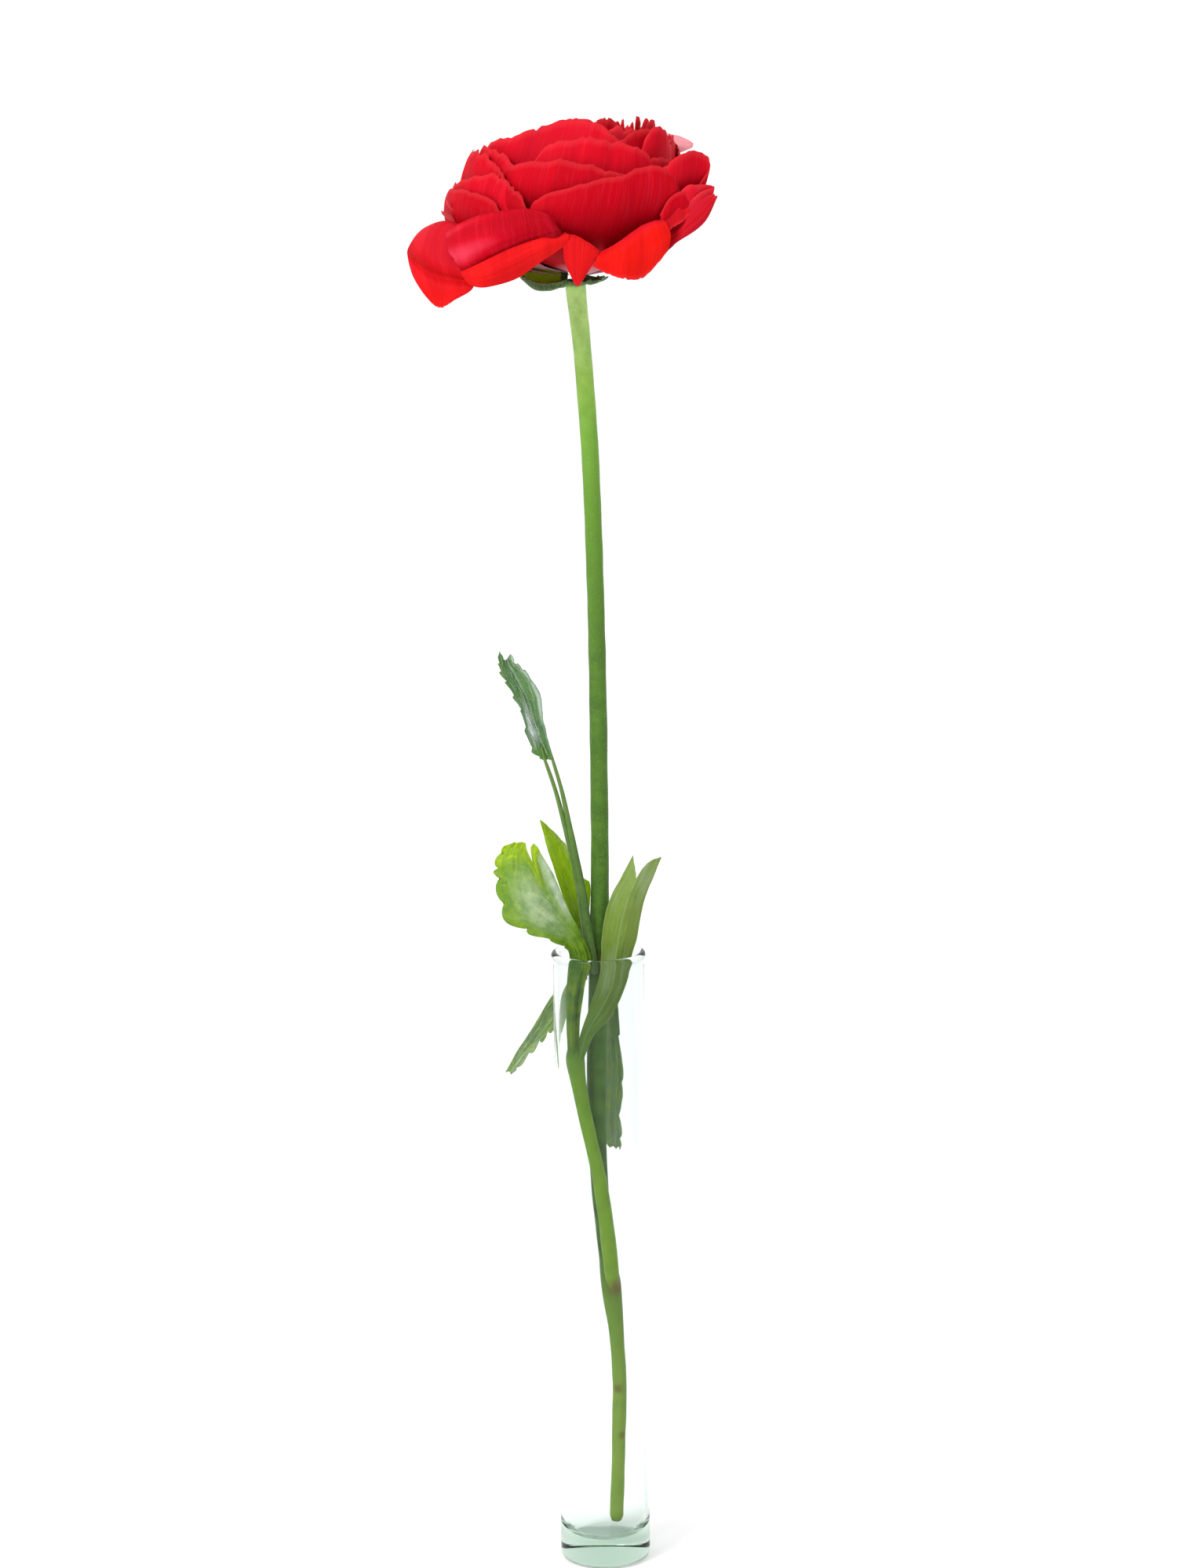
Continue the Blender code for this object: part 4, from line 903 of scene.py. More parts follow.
# %% Sepal forms
SEPALS = [(-84, 8.0, 4.4, -14, 24, 0.0), (-36, 6.4, 4.2, -16, 34, 0.1),
          (42, 9.5, 5.4, -15, 20, 0.0), (118, 14.0, 5.8, -30, 15, 0.0)]
BOAT_NET = [
    [(-2.2, -1.0, 2.0), (-2.4, -3.0, 0.2), (-2.6, -5.0, -1.0), (-2.4, -6.8, -0.6),
     (-2.2, -8.0, 0.6)],
    [(-5.0, -2.0, 4.0), (-5.2, -4.0, 1.0), (-5.2, -7.6, -1.4), (-5.0, -10.2, -1.4),
     (-5.0, -11.0, 0.2)],
    [(-8.6, -2.8, 4.8), (-8.4, -5.0, 1.0), (-8.2, -8.6, -2.2), (-8.0, -11.6, -1.9),
     (-8.2, -12.4, -0.1)],
    [(-12.4, -4.0, 4.8), (-12.2, -6.0, 1.2), (-12.0, -9.2, -1.9), (-11.8, -12.0, -1.4),
     (-12.0, -12.8, 0.3)],
    [(-15.2, -6.0, 4.0), (-15.2, -7.6, 2.0), (-15.0, -9.6, 0.2), (-14.8, -11.6, 0.6),
     (-15.0, -12.2, 1.8)],
    [(-16.6, -8.2, 3.2), (-16.8, -8.9, 2.6), (-16.8, -9.8, 2.0), (-16.6, -10.6, 2.1),
     (-16.6, -11.0, 2.4)]]
SEPAL_THICKNESS, LINING_THICKNESS = 0.5, 0.12


def sepal_point(sepal, u, v):
    azimuth, length, half, root_angle, tip_angle, tilt = sepal
    turn = math.radians(azimuth)
    outward = Vector((math.cos(turn), math.sin(turn), 0))
    sideways = Vector((-math.sin(turn), math.cos(turn), 0))
    reach, height = 3.2, -0.9
    steps = 8
    for k in range(steps):
        angle = math.radians(root_angle + (tip_angle - root_angle) * v * (k + 0.5) / steps)
        reach += length * v / steps * math.cos(angle)
        height += length * v / steps * math.sin(angle)
    width = half * (0.42 + 0.58 * math.sin(math.pi * min(v * 1.15 + 0.1, 1.0)))
    width *= 1.0 - 0.45 * v ** 4
    curl = width * (0.42 * u * u + tilt * u) * smooth_step(v * 2.2)
    return BLOOM_BASE + outward * reach + sideways * (width * u) + Vector((0, 0, height + curl))


def sepal_relief(u, v):
    return 0.25 * noise.noise(Vector((u * 4, v * 5, 1.7))) + 0.08 * noise.noise(
        Vector((u * 22, v * 6, 4.2)))


boat = [[BLOOM_BASE + Vector(p) for p in row] for row in BOAT_NET]
print("the boat runs", round((net_point(boat, 0, 1) - net_point(boat, 0, 0)).length, 1), "mm out")

# %% [markdown]
# The sepals stand on a small green disc. The boat has a brown line along its fold and a thin
# glossy lining, which is a piece of its own because its skin is another one. The lining's
# yellow-green is nearly as bright as it goes: partly its own colour, partly a painted glow for
# the light that comes through the sepal.

# %% Calyx
calyx = MeshMaker()
add_tube(calyx, [BLOOM_BASE + Vector((0, 0, z)) for z in (-1.7, -0.9, -0.15)],
         [3.1, 4.0, 4.2], 8, 32, veins=0.0, brown=0.0)
for sepal in SEPALS:
    add_skin(calyx, lambda u, v: sepal_point(sepal, u, v), 36, 28, SEPAL_THICKNESS,
             sepal_relief, veins=0.0, brown=0.0)
add_skin(calyx, lambda u, v: net_point(boat, u, v), 60, 48, SEPAL_THICKNESS, sepal_relief,
         veins=0.0, brown=lambda u, v: 0.5 * ridge(u, -0.62, 0.09))
calyx.make("calyx_sepals", SEPAL, node="calyx")
lining = MeshMaker()
add_skin(lining, lambda u, v: net_point(boat, -0.92 + 0.5 * (u + 1), 0.14 + 0.74 * v)
         + Vector((0.0, -0.42, 0.25)), 40, 30, LINING_THICKNESS, None, veins=0.0,
         brown=lambda u, v: 0.6 * smooth_step((u - 0.35) * 2.0))
lining.make("sepal_lining", SEPAL_LINING_GLOW)

# %% [markdown]
# Silky hairs fringe the sepals, and shorter ones stand all over the stalk. Each is a closed
# three-sided spike rooted in the skin. Real ones are 0.03 mm thick, and these are 0.06 mm, as
# fine as still shows.

# %% Hairs
ROOT_DEPTH = 0.15              # how deep a hair's root sits in the skin


def add_hair(maker, root, way, length, thickness=0.06):
    way = way.normalized()
    side = way.orthogonal().normalized()
    other = way.cross(side)
    start = root - way * ROOT_DEPTH
    ring = [start + (side * math.cos(a) + other * math.sin(a)) * thickness / 2
            for a in (0, math.tau / 3, 2 * math.tau / 3)]
    maker.add([tuple(p) for p in ring + [root + way * length]],
              [(0, 2, 1), (0, 1, 3), (1, 2, 3), (2, 0, 3)])


def hair_material():
    m = new_material("plant_hair")
    skin = add(m, "BsdfPrincipled", Base_Color=linear("C8D8A8"), Roughness=0.4, IOR=1.45)
    add(m, "OutputMaterial", add(m, "MixShader", 0.5, skin,
                                 add(m, "BsdfTranslucent", linear("C8D8A8"))))
    return m


HAIR = hair_material()
hairs = MeshMaker()
STALK_HAIRS, SEPAL_HAIRS = 2200, 900
print("planting", STALK_HAIRS + 2 * SEPAL_HAIRS, "hairs")

# %% [markdown]
# The stalk's hairs stand straight out of its upper half. Many of the boat's stand on its outer
# edge, and the other sepals' hairs hang down and away from the stalk.

# %% Plant the hairs
for _ in range(STALK_HAIRS):
    t = draw.uniform(0.56, 0.985)
    turn = draw.uniform(0, 2 * math.pi)
    out = Vector((math.cos(turn), math.sin(turn), 0))
    radius = through([Vector((r, 0, 0)) for r in STALK_RADII], t).x
    add_hair(hairs, through(STALK_ROUTE, t) + out * radius,
             out + Vector((0, 0, draw.uniform(-0.5, 0.4))), draw.uniform(0.25, 0.7))
for _ in range(SEPAL_HAIRS):
    u, v = draw.uniform(-0.1, 1.0), draw.uniform(0.1, 1.0)
    if draw.random() < 0.4:
        u = 1.0
    spot = net_point(boat, u, v)
    out = Vector((draw.uniform(-0.6, 0.3), -1.0, draw.uniform(-1.2, -0.2)))
    add_hair(hairs, spot, out, draw.uniform(0.5, 1.5), 0.07)
for _ in range(SEPAL_HAIRS):
    sepal = draw.choice(SEPALS)
    u, v = draw.uniform(-1, 1), draw.uniform(0.2, 1.0)
    spot = sepal_point(sepal, u, v)
    out = spot - BLOOM_BASE
    add_hair(hairs, spot, Vector((out.x, out.y, -4.0)), draw.uniform(0.4, 1.1), 0.07)
hairs.make("plant_hairs", HAIR)

# %% [markdown]
# ## Leaves
# The leaves are soft and deeply cut. Each has a net like the bent petals, from the foot of its
# stalk to its end and from its left edge to its right one. The edges' teeth and the notches of
# its end are lines over that net, so the blade bends as one sheet however it is cut.

# %% Leaf nets
LEAF_NETS = {
    "leaf_right_folded": [
        [(-8.6, -2.6, 163), (-7.2, -4.4, 163), (-5.8, -2.8, 163)],
        [(-4.9, -3.2, 176), (-3.6, -4.8, 175), (-2.0, -4.4, 173.5)],
        [(-2.2, -3.0, 184), (0.8, -5.6, 182.5), (3.8, -5.0, 180)],
        [(0.2, -2.6, 192), (4.4, -5.8, 190.5), (8.4, -4.4, 190)],
        [(0.9, -2.6, 199), (5.6, -6.2, 200), (10.6, -3.8, 199.6)],
        [(1.3, -3.0, 205.5), (6.6, -6.8, 206), (12.3, -4.0, 205)],
        [(2.3, -3.0, 212.4), (8.0, -7.2, 213), (13.7, -3.4, 213)],
        [(4.4, -3.2, 218.4), (10.0, -7.2, 219.4), (15.3, -3.0, 219)],
        [(7.2, -3.4, 224), (12.4, -6.4, 224.5), (17.4, -3.0, 224)],
        [(11.2, -4.0, 231.4), (15.4, -5.6, 230.8), (20.1, -3.2, 230.6)]],
    "leaf_left_lobed": [
        [(-9.8, -2.4, 163), (-8.2, -4.6, 163), (-6.6, -2.6, 163)],
        [(-10.2, -1.6, 178), (-8.6, -4.4, 178), (-6.2, -3.2, 178)],
        [(-10.2, -1.8, 190), (-8.0, -4.8, 190), (-4.4, -3.8, 190)],
        [(-9.0, -3.6, 199), (-6.0, -5.2, 198.6), (-2.4, -4.0, 198.6)],
        [(-10.9, -5.0, 202.6), (-8.2, -6.2, 204.6), (-5.2, -4.4, 206.4)],
        [(-16.7, -6.5, 205.3), (-12.6, -7.4, 208.4), (-7.8, -4.8, 211.3)],
        [(-23.6, -7.5, 207.9), (-17.4, -8.4, 212.8), (-10.5, -5.0, 217.9)],
        [(-30.1, -8.5, 213.5), (-22.4, -9.0, 219.6), (-13.6, -5.0, 225.5)],
        [(-32.1, -8.6, 225.6), (-24.6, -9.0, 227.4), (-15.4, -4.8, 228.8)],
        [(-32.2, -8.6, 229.8), (-25.2, -8.6, 231.4), (-17.3, -4.6, 232.0)],
        [(-30.5, -8.2, 234.2), (-25.0, -7.8, 234.6), (-18.8, -4.6, 234.3)],
        [(-27.4, -7.6, 236.8), (-23.8, -6.9, 236.8), (-20.0, -4.6, 235.8)]],
    "leaf_back_yellow": [
        [(-4.7, 1.0, 190), (-3.95, 2.8, 190), (-4.6, 4.6, 190)],
        [(-5.6, 2.4, 200), (-4.6, 4.4, 200), (-3.0, 6.2, 200)],
        [(-7.8, 4.0, 209), (-6.0, 5.8, 209), (-1.8, 6.8, 208)],
        [(-9.6, 4.2, 213.5), (-7.2, 6.2, 214.5), (-1.6, 7.2, 214)],
        [(-12.4, 4.4, 221.5), (-9.0, 6.4, 222), (-2.4, 7.2, 220.4)],
        [(-14.6, 4.4, 229), (-11.4, 6.2, 229), (-7.2, 7.0, 227)],
        [(-16.2, 4.4, 235), (-13.6, 6.0, 235), (-10.0, 7.0, 233.2)],
        [(-17.8, 4.4, 241.4), (-16.6, 5.2, 240.6), (-14.0, 6.0, 237.6)]],
    "leaf_outer_hanging": [
        [(-4.6, 7.4, 192), (-3.4, 8.4, 192), (-2.2, 9.0, 192)],
        [(-6.0, 9.2, 199), (-4.4, 10.6, 199), (-2.4, 11.2, 199)],
        [(-7.4, 13.0, 204.0), (-4.4, 14.2, 204.6), (-1.6, 14.4, 204.2)],
        [(-6.6, 16.2, 197.5), (-4.0, 17.2, 196.5), (-1.2, 17.4, 195.0)],
        [(-9.0, 17.0, 188.5), (-7.6, 18.2, 185.0), (-6.2, 18.4, 181.0)],
        [(-15.0, 17.0, 181.2), (-14.8, 18.0, 175.6), (-14.6, 18.0, 169.8)],
        [(-18.6, 17.0, 175.4), (-18.2, 18.0, 171.0), (-18.0, 18.0, 166.0)],
        [(-22.6, 17.0, 169.0), (-22.0, 18.0, 166.0), (-21.6, 18.0, 162.2)],
        [(-26.0, 17.0, 163.8), (-25.6, 17.8, 161.4), (-25.2, 18.0, 158.2)],
        [(-30.2, 17.2, 156.2), (-29.6, 17.6, 155.4), (-28.6, 18.0, 155.0)]],
    "leaf_inside_hanging": [
        [(1.0, 7.4, 194), (2.8, 8.0, 194), (4.6, 7.4, 194)],
        [(1.2, 8.0, 186), (4.0, 9.2, 186), (5.8, 8.0, 186)],
        [(1.6, 9.0, 175), (4.2, 10.2, 175), (6.4, 8.6, 175.4)],
        [(1.2, 9.2, 165.5), (4.2, 10.6, 165), (6.9, 9.0, 165.5)],
        [(0.6, 9.4, 157), (4.2, 10.8, 156), (8.0, 9.0, 154.4)],
        [(0.6, 9.4, 148), (3.6, 10.8, 147), (6.8, 9.4, 146)],
        [(1.0, 9.6, 139), (3.8, 10.6, 138), (7.0, 9.4, 137)],
        [(1.8, 10.0, 133.4), (4.0, 10.4, 132.6), (6.6, 9.6, 132.4)]],
    "leaf_upper_dark": [
        [(-15.9, -2.2, 261.6), (-14.6, -1.2, 261.8), (-13.4, -2.0, 261.4)],
        [(-19.6, -3.0, 263.9), (-16.6, -0.4, 267.0), (-14.4, -3.0, 267.1)],
        [(-21.9, -3.4, 270.7), (-18.6, 0.0, 271.8), (-16.2, -3.4, 274.0)],
        [(-23.5, -3.6, 278.0), (-20.5, 0.2, 277.5), (-16.5, -3.4, 281.6)],
        [(-26.6, -3.6, 284.2), (-22.6, 0.3, 283.4), (-18.8, -3.2, 285.9)],
        [(-29.4, -3.2, 289.1), (-25.0, 0.4, 288.0), (-21.9, -2.6, 290.8)],
        [(-30.0, -2.6, 292.9), (-27.0, 0.4, 291.9), (-24.3, -2.2, 292.9)],
        [(-29.4, -2.0, 296.2), (-27.6, 0.0, 294.4), (-25.6, -1.8, 295.6)]],
}
ROUND_LOBED = ("leaf_left_lobed", "leaf_outer_hanging", "leaf_inside_hanging")
# leaf: where the teeth of its left and right edge end, their depth, and the line of its end
LEAF_CUTS = {
    "leaf_right_folded": ([], [], 0.0, [
        (-1, 1.0), (-0.75, 0.975), (-0.49, 0.95), (-0.2, 0.915), (-0.05, 0.885), (0.02, 0.94),
        (0.18, 0.975), (0.5, 0.99), (1, 1.0)]),
    "leaf_left_lobed": ([0.36, 0.445, 0.545, 0.66, 0.72, 0.78, 0.89, 1.0], [], 0.26, [
        (-1, 0.96), (-0.5, 1.0), (-0.3, 0.985), (0.15, 1.0), (0.42, 0.985), (0.58, 0.76),
        (0.74, 0.93), (1, 1.0)]),
    "leaf_back_yellow": ([], [0.3, 0.58, 0.70, 0.86, 1.0], 0.24, [
        (-1, 1.0), (0.0, 0.99), (0.5, 0.97), (1, 0.99)]),
    "leaf_outer_hanging": ([], [0.40, 0.50, 0.60, 0.70, 0.80, 0.93], 0.45, [
        (-1, 1.0), (0, 0.98), (1, 0.99)]),
    "leaf_inside_hanging": ([], [0.36, 0.57, 0.75, 0.88, 1.0], 0.28, [
        (-1, 0.96), (-0.5, 1.0), (0.1, 0.975), (0.4, 1.0), (0.7, 0.97), (1, 1.0)]),
    "leaf_upper_dark": ([0.06, 0.16, 0.30, 0.42, 0.52, 0.64, 0.74, 0.84, 0.93],
                        [0.7, 0.8, 0.9], 0.22, [
        (-1, 1.0), (-0.55, 0.96), (-0.2, 0.90), (0.0, 0.93), (0.45, 0.985), (0.7, 1.0),
        (0.85, 0.97), (1, 0.93)]),
}


# %% [markdown]
# A tooth points towards the leaf's tip: past its point the edge drops back steeply, then climbs
# slowly to the next one. A lobe is a round tooth. Towards the middle of the blade both fade.

# %% Teeth and ends
def toothed(v, tips, depth, rounded):
    before = max([tip for tip in tips if tip <= v], default=None)
    after = min([tip for tip in tips if tip > v], default=None)
    if before is None or after is None:
        return 1.0
    phase = (v - before) / (after - before)
    if rounded:
        return 1.0 - depth * (1.0 - math.sin(math.pi * phase ** 1.4) ** 0.5)
    return 1.0 - depth * (phase / 0.12 if phase < 0.12 else (1.0 - phase) / 0.88)


def leaf_point(name, net, u, v):
    left_tips, right_tips, depth, end_line = LEAF_CUTS[name]
    v = v * (1.0 + (read_line(end_line, u) - 1.0) * smooth_step((v - 0.4) * 2.0))
    edge = toothed(v, left_tips if u < 0 else right_tips, depth, name in ROUND_LOBED)
    return net_point(net, u * (1.0 - (1.0 - edge) * u * u), v)


print(len(LEAF_NETS), "leaves, of which", len(ROUND_LOBED), "have rounded lobes")

# %% [markdown]
# Veins run from the stalk into every lobe and branch as they go. On the folded half of the
# lobed leaf they arch away from its thick edge, and on the narrow leaf they run side by side.

# %% Veins
def branched_veins(u, v):
    """1 on a vein and 0 between: main ones that part from each other, and side veins."""
    spread = smooth_step(v * 1.6)
    nearest = min(abs(u - place * spread) for place in (-0.62, -0.22, 0.18, 0.6))
    main = ridge(nearest, 0, 0.022)
    phase = (v * 13.0 - nearest * 5.0 + 0.3 * math.sin(u * 9.0)) % 1.0
    side = 0.5 * ridge(phase, 0.5, 0.06) * smooth_step(v * 3)
    net = 0.35 * max(0.0, noise.noise(Vector((u * 16, v * 30, 2.0)))) * smooth_step(v * 2)
    return min(1.0, max(main, side) + net)


def arched_veins(u, v):
    """Pale veins that leave the thick right edge in arches, as on a folded half leaf."""
    phase = (v * 8.0 - 0.75 * (1 - u) ** 1.2 + 0.25 * noise.noise(Vector((u * 3, v * 4, 6)))) % 1
    arches = 0.55 * ridge(phase, 0.5, 0.045)
    net = 0.3 * max(0.0, noise.noise(Vector((u * 18, v * 34, 2.0))))
    return (arches + net) * smooth_step((v - 0.35) * 6)


def parallel_veins(u, v):
    """Fine veins side by side, as on a narrow leaf."""
    fine = max(0.0, math.cos(u * 26.0 + 0.8 * math.sin(v * 5))) ** 6
    pale_rim = smooth_step((abs(u) - 0.95) * 20)
    return min(1.0, 0.35 * fine + 0.8 * ridge(u, 0, 0.03) + 0.6 * pale_rim)


print("a vein at", branched_veins(0.18, 1.0), "and beside it", round(branched_veins(0.4, 0.5), 2))

# %% [markdown]
# A leaf's wax shines silvery where the sheet turns to the light, and here that shine is a
# painted sheen: silvery white mixed into the colour. On most leaves it is a few soft clouds.
# The lobed one has it in a band at its folded edge and a cloud in its middle, and the upper one
# at its lower left, along its right edge and on its midrib.

# %% Painted silvery sheen
def lobed_painted_sheen(u, v):
    band = ridge(u, 0.88, 0.13) * smooth_step((v - 0.42) * 8)
    middle = 0.4 * ridge(u, 0.1, 0.5) * ridge(v, 0.58, 0.14)
    return 0.6 * band * smooth_step((0.90 - v) * 8) + middle


def upper_painted_sheen(u, v):
    low_left = 0.95 * smooth_step((0.56 - v) * 5) * ridge(u, -0.42, 0.30)
    low_left *= smooth_step((v - 0.12) * 8)
    right = 0.55 * ridge(u, 0.86, 0.12) * smooth_step(v * 5)
    return min(1.0, low_left + right + 0.7 * ridge(u, 0.06, 0.035))


def plain_painted_sheen(u, v):
    return 0.25 * max(0.0, noise.noise(Vector((u * 2.2, v * 4, 8.0))))


print("the upper leaf's midrib shines with", round(upper_painted_sheen(0.06, 0.9), 2), "of full white")

# %% [markdown]
# A blade is crumpled a little, in broad swells and in small ones, and its veins are sunk.

# %% One leaf
LEAF_THICKNESS = 0.36
LEAF_ROWS, LEAF_COLUMNS = 130, 64


def make_leaf(name, material, veins, silver=plain_painted_sheen, crumple=1.0):
    net = [[Vector(p) for p in row] for row in LEAF_NETS[name]]
    seed = len(name)

    def relief(u, v):
        broad = 0.45 * noise.noise(Vector((u * 2.4, v * 6, seed)))
        small = 0.22 * noise.noise(Vector((u * 7, v * 14, seed)))
        return crumple * (broad + small) - 0.16 * veins(u, v)

    maker = MeshMaker()
    add_skin(maker, lambda u, v: leaf_point(name, net, u, v), LEAF_ROWS, LEAF_COLUMNS,
             LEAF_THICKNESS, relief, veins=veins, silver=silver, brown=0.0)
    return maker.make(name + "_blade", material, node=name)


print("leaf blades", LEAF_THICKNESS, "mm thick")

# %% [markdown]
# Each leaf has aged its own way: the folded one is olive, the lobed one yellows from its tip
# inwards, the one behind it is lit through, and the two hanging ones show their silvery backs.

# %% The leaves at the vase's mouth
OLIVE = green_material("olive_leaf", [(0.0, "527E1C"), (0.3, "5C7628"), (0.6, "748C3A"),
                                      (1.0, "869E50")],
                       "96A870", 0.42, 0.22, "64882A", mottle_share=0.4)
LIME = green_material("yellowing_leaf", [(0.0, "44701E"), (0.26, "3E6A1C"), (0.34, "4E7A16"),
                                         (0.55, "5E8A2C"), (0.74, "6E9A34"), (0.86, "8CB42C"),
                                         (1.0, "A6C81C")],
                      "A6C672", 0.38, 0.28, "9CB818", mottle_share=0.6, fleck_share=0.8)
YELLOW = green_material("back_lit_leaf", [(0.0, "4E7A1C"), (0.3, "82AC10"), (1.0, "A4CC18")],
                        "C0DC5C", 0.42, 0.42, "B4CC08", mottle_share=0.5, fleck_share=0.5)
SILVER = green_material("silvery_leaf", [(0.0, "547A3C"), (0.5, "7C9C66"), (1.0, "94B088")],
                        "BCD0B4", 0.38, 0.2, "9ABC3C", mottle_share=0.45, fleck_share=0.4)
make_leaf("leaf_right_folded", OLIVE, parallel_veins)
make_leaf("leaf_left_lobed", LIME, arched_veins, lobed_painted_sheen, crumple=2.0)
make_leaf("leaf_back_yellow", YELLOW, branched_veins)
make_leaf("leaf_outer_hanging", SILVER, branched_veins)
make_leaf("leaf_inside_hanging", SILVER, branched_veins)

# %% [markdown]
# The dark upper blade stands on two thin stalks that spring from the node at the vase's mouth.

# %% Upper leaf
DARK = green_material("glossy_leaf", [(0.0, "4E7C30"), (0.2, "4C7048"), (0.6, "557C50"),
                                      (1.0, "5E8458")],
                      "A6C29C", 0.30, 0.12, "668C3C", mottle_share=0.55)
RIGHT_STALK = [Vector(p) for p in (
    (-1.3, -1.7, 193), (-2.2, -1.9, 200), (-3.5, -1.7, 208.5), (-4.9, -1.4, 220),
    (-6.9, -1.2, 231), (-8.5, -1.4, 240), (-10.7, -1.7, 251.5), (-13.3, -1.8, 261),
    (-14.6, -1.2, 266))]
LEFT_STALK = [Vector(p) for p in (
    (-2.8, -1.6, 200), (-4.2, -1.5, 209), (-5.9, -1.2, 222), (-7.8, -1.0, 231),
    (-10.1, -1.0, 241), (-12.6, -1.4, 251.4), (-16.0, -2.0, 262), (-16.9, -1.4, 266))]
STALK_SKIN = green_material("leaf_stalk", [(0.0, "3A5424"), (0.35, "42602C"), (0.7, "587838"),
                                           (1.0, "5E7A44")],
                            "A8C09A", 0.30, 0.05, "6E8A40", mottle_share=0.3)
make_leaf("leaf_upper_dark", DARK, branched_veins, upper_painted_sheen, crumple=1.6)
upper_stalks = MeshMaker()
add_tube(upper_stalks, RIGHT_STALK, [1.3, 1.5, 1.45, 1.3, 1.15, 0.9, 0.65, 0.5, 0.35], 120, 16,
         wobble=0.1, veins=0.0, brown=0.0)
add_tube(upper_stalks, LEFT_STALK, [1.0, 1.2, 1.15, 1.0, 0.8, 0.65, 0.5, 0.35], 110, 16,
         wobble=0.1, veins=0.0, brown=0.0)
upper_stalks.make("leaf_upper_stalks", STALK_SKIN, node="leaf_upper_dark")

# %% [markdown]
# ## The glass
# The vase is drawn soda-lime glass: smooth, nearly clear, and with a green tint from iron that
# deepens with thickness, so it shows in the foot and at the edges of the wall. That part is
# absorption in the volume, which gets the deepening right by itself. The surface colour is a
# trace off white, which is more than clear glass has: it lets the tube show against the room.
#
# Soda-lime has an IOR of 1.52, but in a room that is white all round so much white would mirror
# in the wall that the stalks behind it went grey. So 1.22 is used, which lets them show as
# clearly as they do. That is a choice for the looks and not the glass's own value. The foot
# can't have another IOR than the wall, or a dark ring shows where they meet.

# %% Soda-lime glass
def glass_material():
    m = new_material("soda_lime_glass")
    surface = add(m, "BsdfPrincipled", Base_Color=linear("F9FBFB"), Roughness=0.0, IOR=1.22,
                  Transmission_Weight=1.0)
    tint = add(m, "VolumeAbsorption", Color=linear("B4D8C0"), Density=42.0)
    add(m, "OutputMaterial", Surface=surface, Volume=tint)
    return m


print("glass tint", [round(c, 2) for c in linear("B4D8C0")[:3]])

# %% [markdown]
# The tube is turned from one profile, from the middle of its inside floor up the inside, over
# the bead at the rim and down outside. The bead stands out further than the wall, so the wall
# is set in from the box that the whole vase fills.

# %% Glass tube
WALL, FLOOR = 1.5, 8.0         # thickness of the wall and of the foot
BOWL, HEEL = 6.0, 2.2          # radius of the inside corner and of the outside one
BEAD, BEAD_OVERHANG = 1.15, 0.5
STRAIGHT = (30.0, 60.0, 100.0, 140.0, 175.0)


def arc(cx, cz, radius, start, end, steps):
    return [(cx + radius * math.cos(math.radians(start + (end - start) * i / steps)),
             cz + radius * math.sin(math.radians(start + (end - start) * i / steps)))
            for i in range(steps + 1)]


def vase_profile():
    """Points of (radius, height)."""
    radius = VASE_RADIUS - BEAD_OVERHANG
    inner = radius - WALL
    points = [(0.0, FLOOR), ((inner - BOWL) * 0.6, FLOOR)]
    points += arc(inner - BOWL, FLOOR + BOWL, BOWL, -90, 0, 24)
    points += [(inner, z) for z in STRAIGHT + (VASE_HEIGHT - 5.0,)]
    points += arc(inner + 0.85, VASE_HEIGHT - BEAD, BEAD, 190, -30, 20)
    points += [(radius - 0.30, VASE_HEIGHT - 3.0), (radius - 0.12, VASE_HEIGHT - 4.2),
               (radius, VASE_HEIGHT - 5.5)]
    points += [(radius, z) for z in reversed(STRAIGHT)]
    points += arc(radius - HEEL, HEEL, HEEL, 0, -90, 10)
    return points + [(0.0, 0.0)]


def make_vase():
    profile, sides = vase_profile(), 160
    points = [(0, 0, profile[0][1])]
    for r, z in profile[1:-1]:
        points += [(r * math.cos(2 * math.pi * k / sides), r * math.sin(2 * math.pi * k / sides),
                    z) for k in range(sides)]
    points.append((0, 0, 0))
    last, faces = len(points) - 1, []
    rings = len(profile) - 2
    for k in range(sides):
        n = (k + 1) % sides
        faces.append((0, 1 + k, 1 + n))
        for i in range(rings - 1):
            a, b = 1 + i * sides, 1 + (i + 1) * sides
            faces.append((a + k, b + k, b + n, a + n))
        end = 1 + (rings - 1) * sides
        faces.append((end + k, last, end + n))
    maker = MeshMaker()
    maker.add(points, faces)
    return maker.make("glass_vase", glass_material(), node="vase")


make_vase()

# %% [markdown]
# ## Floor, light and camera
# The flower was lit for a white page: a broad soft light all round, a little stronger from
# above, and a floor that goes to white. A plain world gives the light from all sides, and one
# large soft box above gives the petals their form.

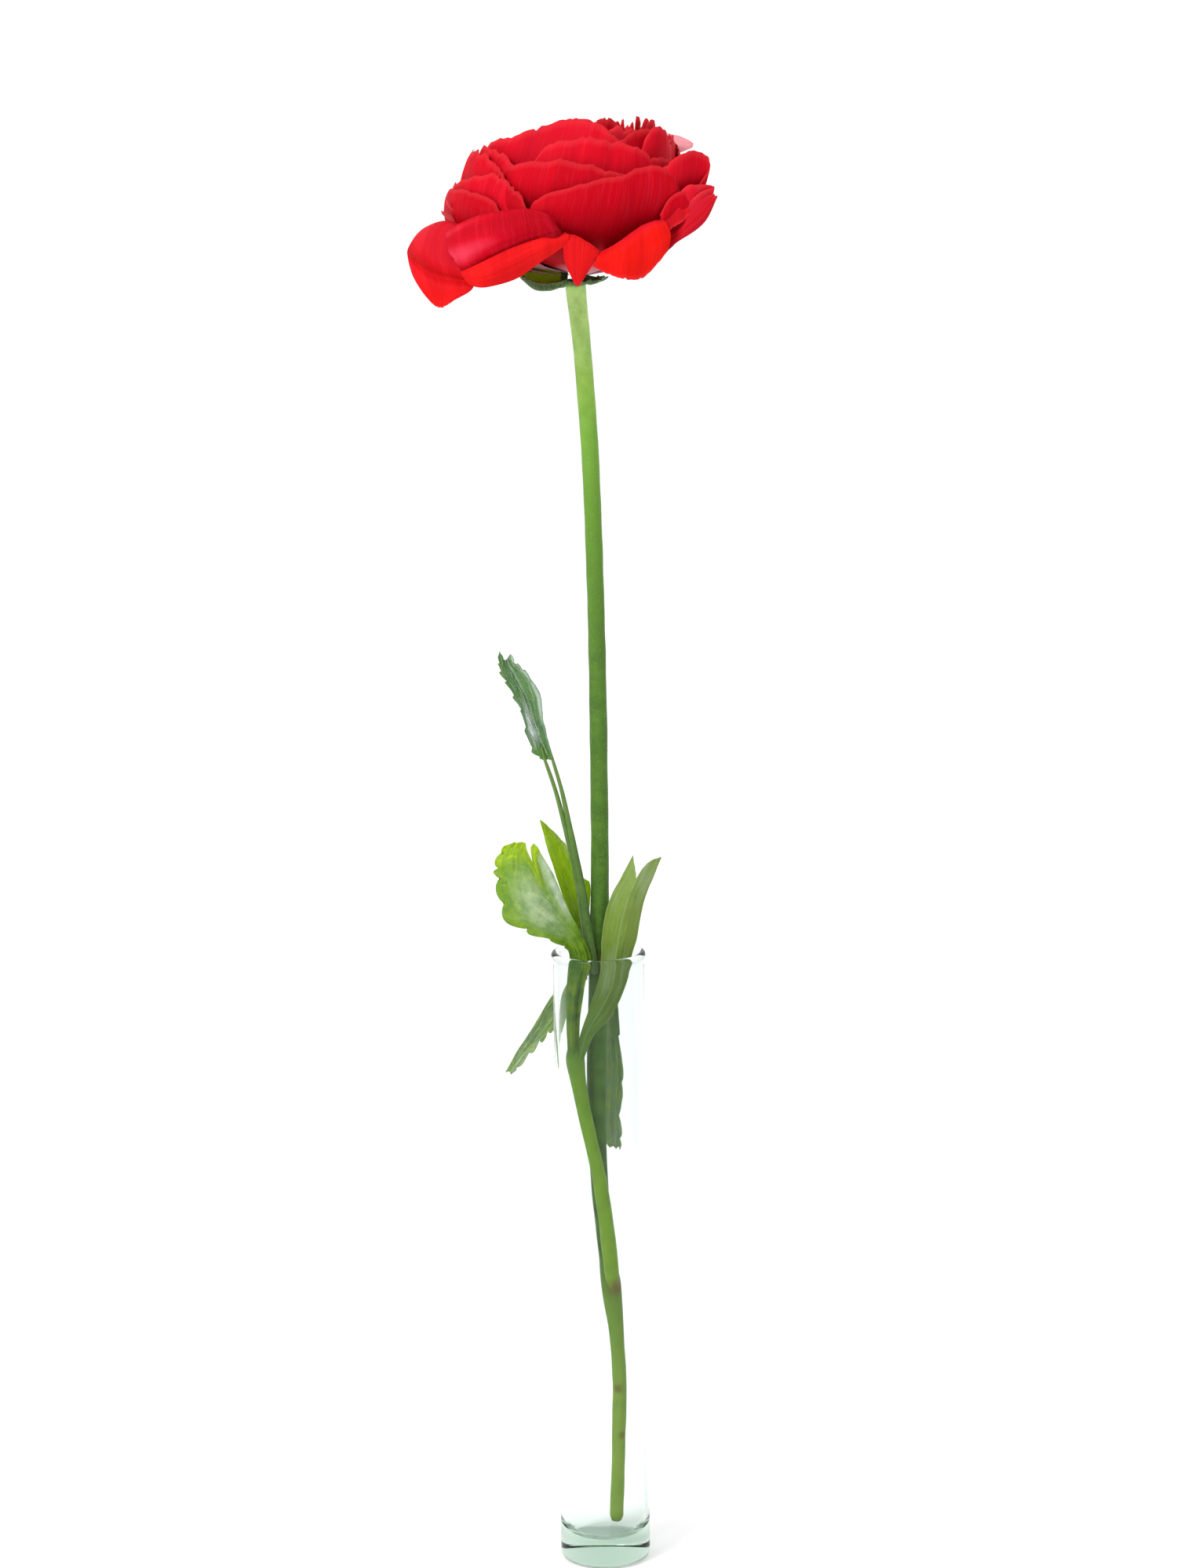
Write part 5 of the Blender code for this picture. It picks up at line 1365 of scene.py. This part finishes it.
# %% Floor and room
FLOOR_SIZE = 30.0              # metres to each side, so that its edge is out of sight
FLOOR_DROP = 0.3 * MM          # a hair below the glass, so the two faces don't coincide
ROOM_STRENGTH = 1.06           # just over white, so that the floor goes to white as well
scene = bpy.context.scene
scene.view_settings.view_transform = "Standard"
floor_mesh = bpy.data.meshes.new("floor")
floor_mesh.from_pydata([(x * FLOOR_SIZE, y * FLOOR_SIZE, -FLOOR_DROP) for x, y in
                        ((-1, -1), (1, -1), (1, 1), (-1, 1))], [], [(0, 1, 2, 3)])
floor = bpy.data.objects.new("floor", floor_mesh)
scene.collection.objects.link(floor)
paper = new_material("white_paper")
add(paper, "OutputMaterial",
    add(paper, "BsdfPrincipled", Base_Color=linear("FCFCFC"), Roughness=0.9,
        Specular_IOR_Level=0.0))
floor_mesh.materials.append(paper)

world = bpy.data.worlds.new("white_room")
scene.world = world
world.use_nodes = True
background = world.node_tree.nodes["Background"]
background.inputs["Color"].default_value = (1, 1, 1, 1)
background.inputs["Strength"].default_value = ROOM_STRENGTH
print("white room at strength", ROOM_STRENGTH)

# %% [markdown]
# One soft box hangs in front of the flower, to its upper left.

# %% Key light
def soft_box(name, place, size, watts, target=(0, 0, 0.3)):
    light = bpy.data.lights.new(name, "AREA")
    light.shape, light.size, light.energy = "SQUARE", size, watts
    box = bpy.data.objects.new(name, light)
    scene.collection.objects.link(box)
    box.location = place
    box.rotation_euler = (Vector(target) - Vector(place)).to_track_quat("-Z", "Y").to_euler()


soft_box("key_box", (-0.8, -0.8, 1.25), 0.6, 13)
print("key light from the upper left over a white room")

# %% [markdown]
# The camera looks slightly down on the vase's foot and almost level at the bloom: 1.4 m away and
# half a metre up, with a 105 mm lens. It is rolled by under a degree, as a hand levels it.

# %% Camera
CAMERA_PLACE = Vector((-2.4, -1401.0, 532.7)) * MM
CAMERA_PITCH = math.radians(-11.27)
CAMERA_ROLL = math.radians(-0.73)
camera = bpy.data.objects.new("camera", bpy.data.cameras.new("camera"))
scene.collection.objects.link(camera)
camera.data.lens = 105.0
camera.data.clip_start = 0.05
camera.matrix_world = (Matrix.Translation(CAMERA_PLACE)
                       @ Matrix.Rotation(math.pi / 2 + CAMERA_PITCH, 4, "X")
                       @ Matrix.Rotation(CAMERA_ROLL, 4, "Z"))
scene.camera = camera
print("camera", [round(x, 3) for x in CAMERA_PLACE], "metres")
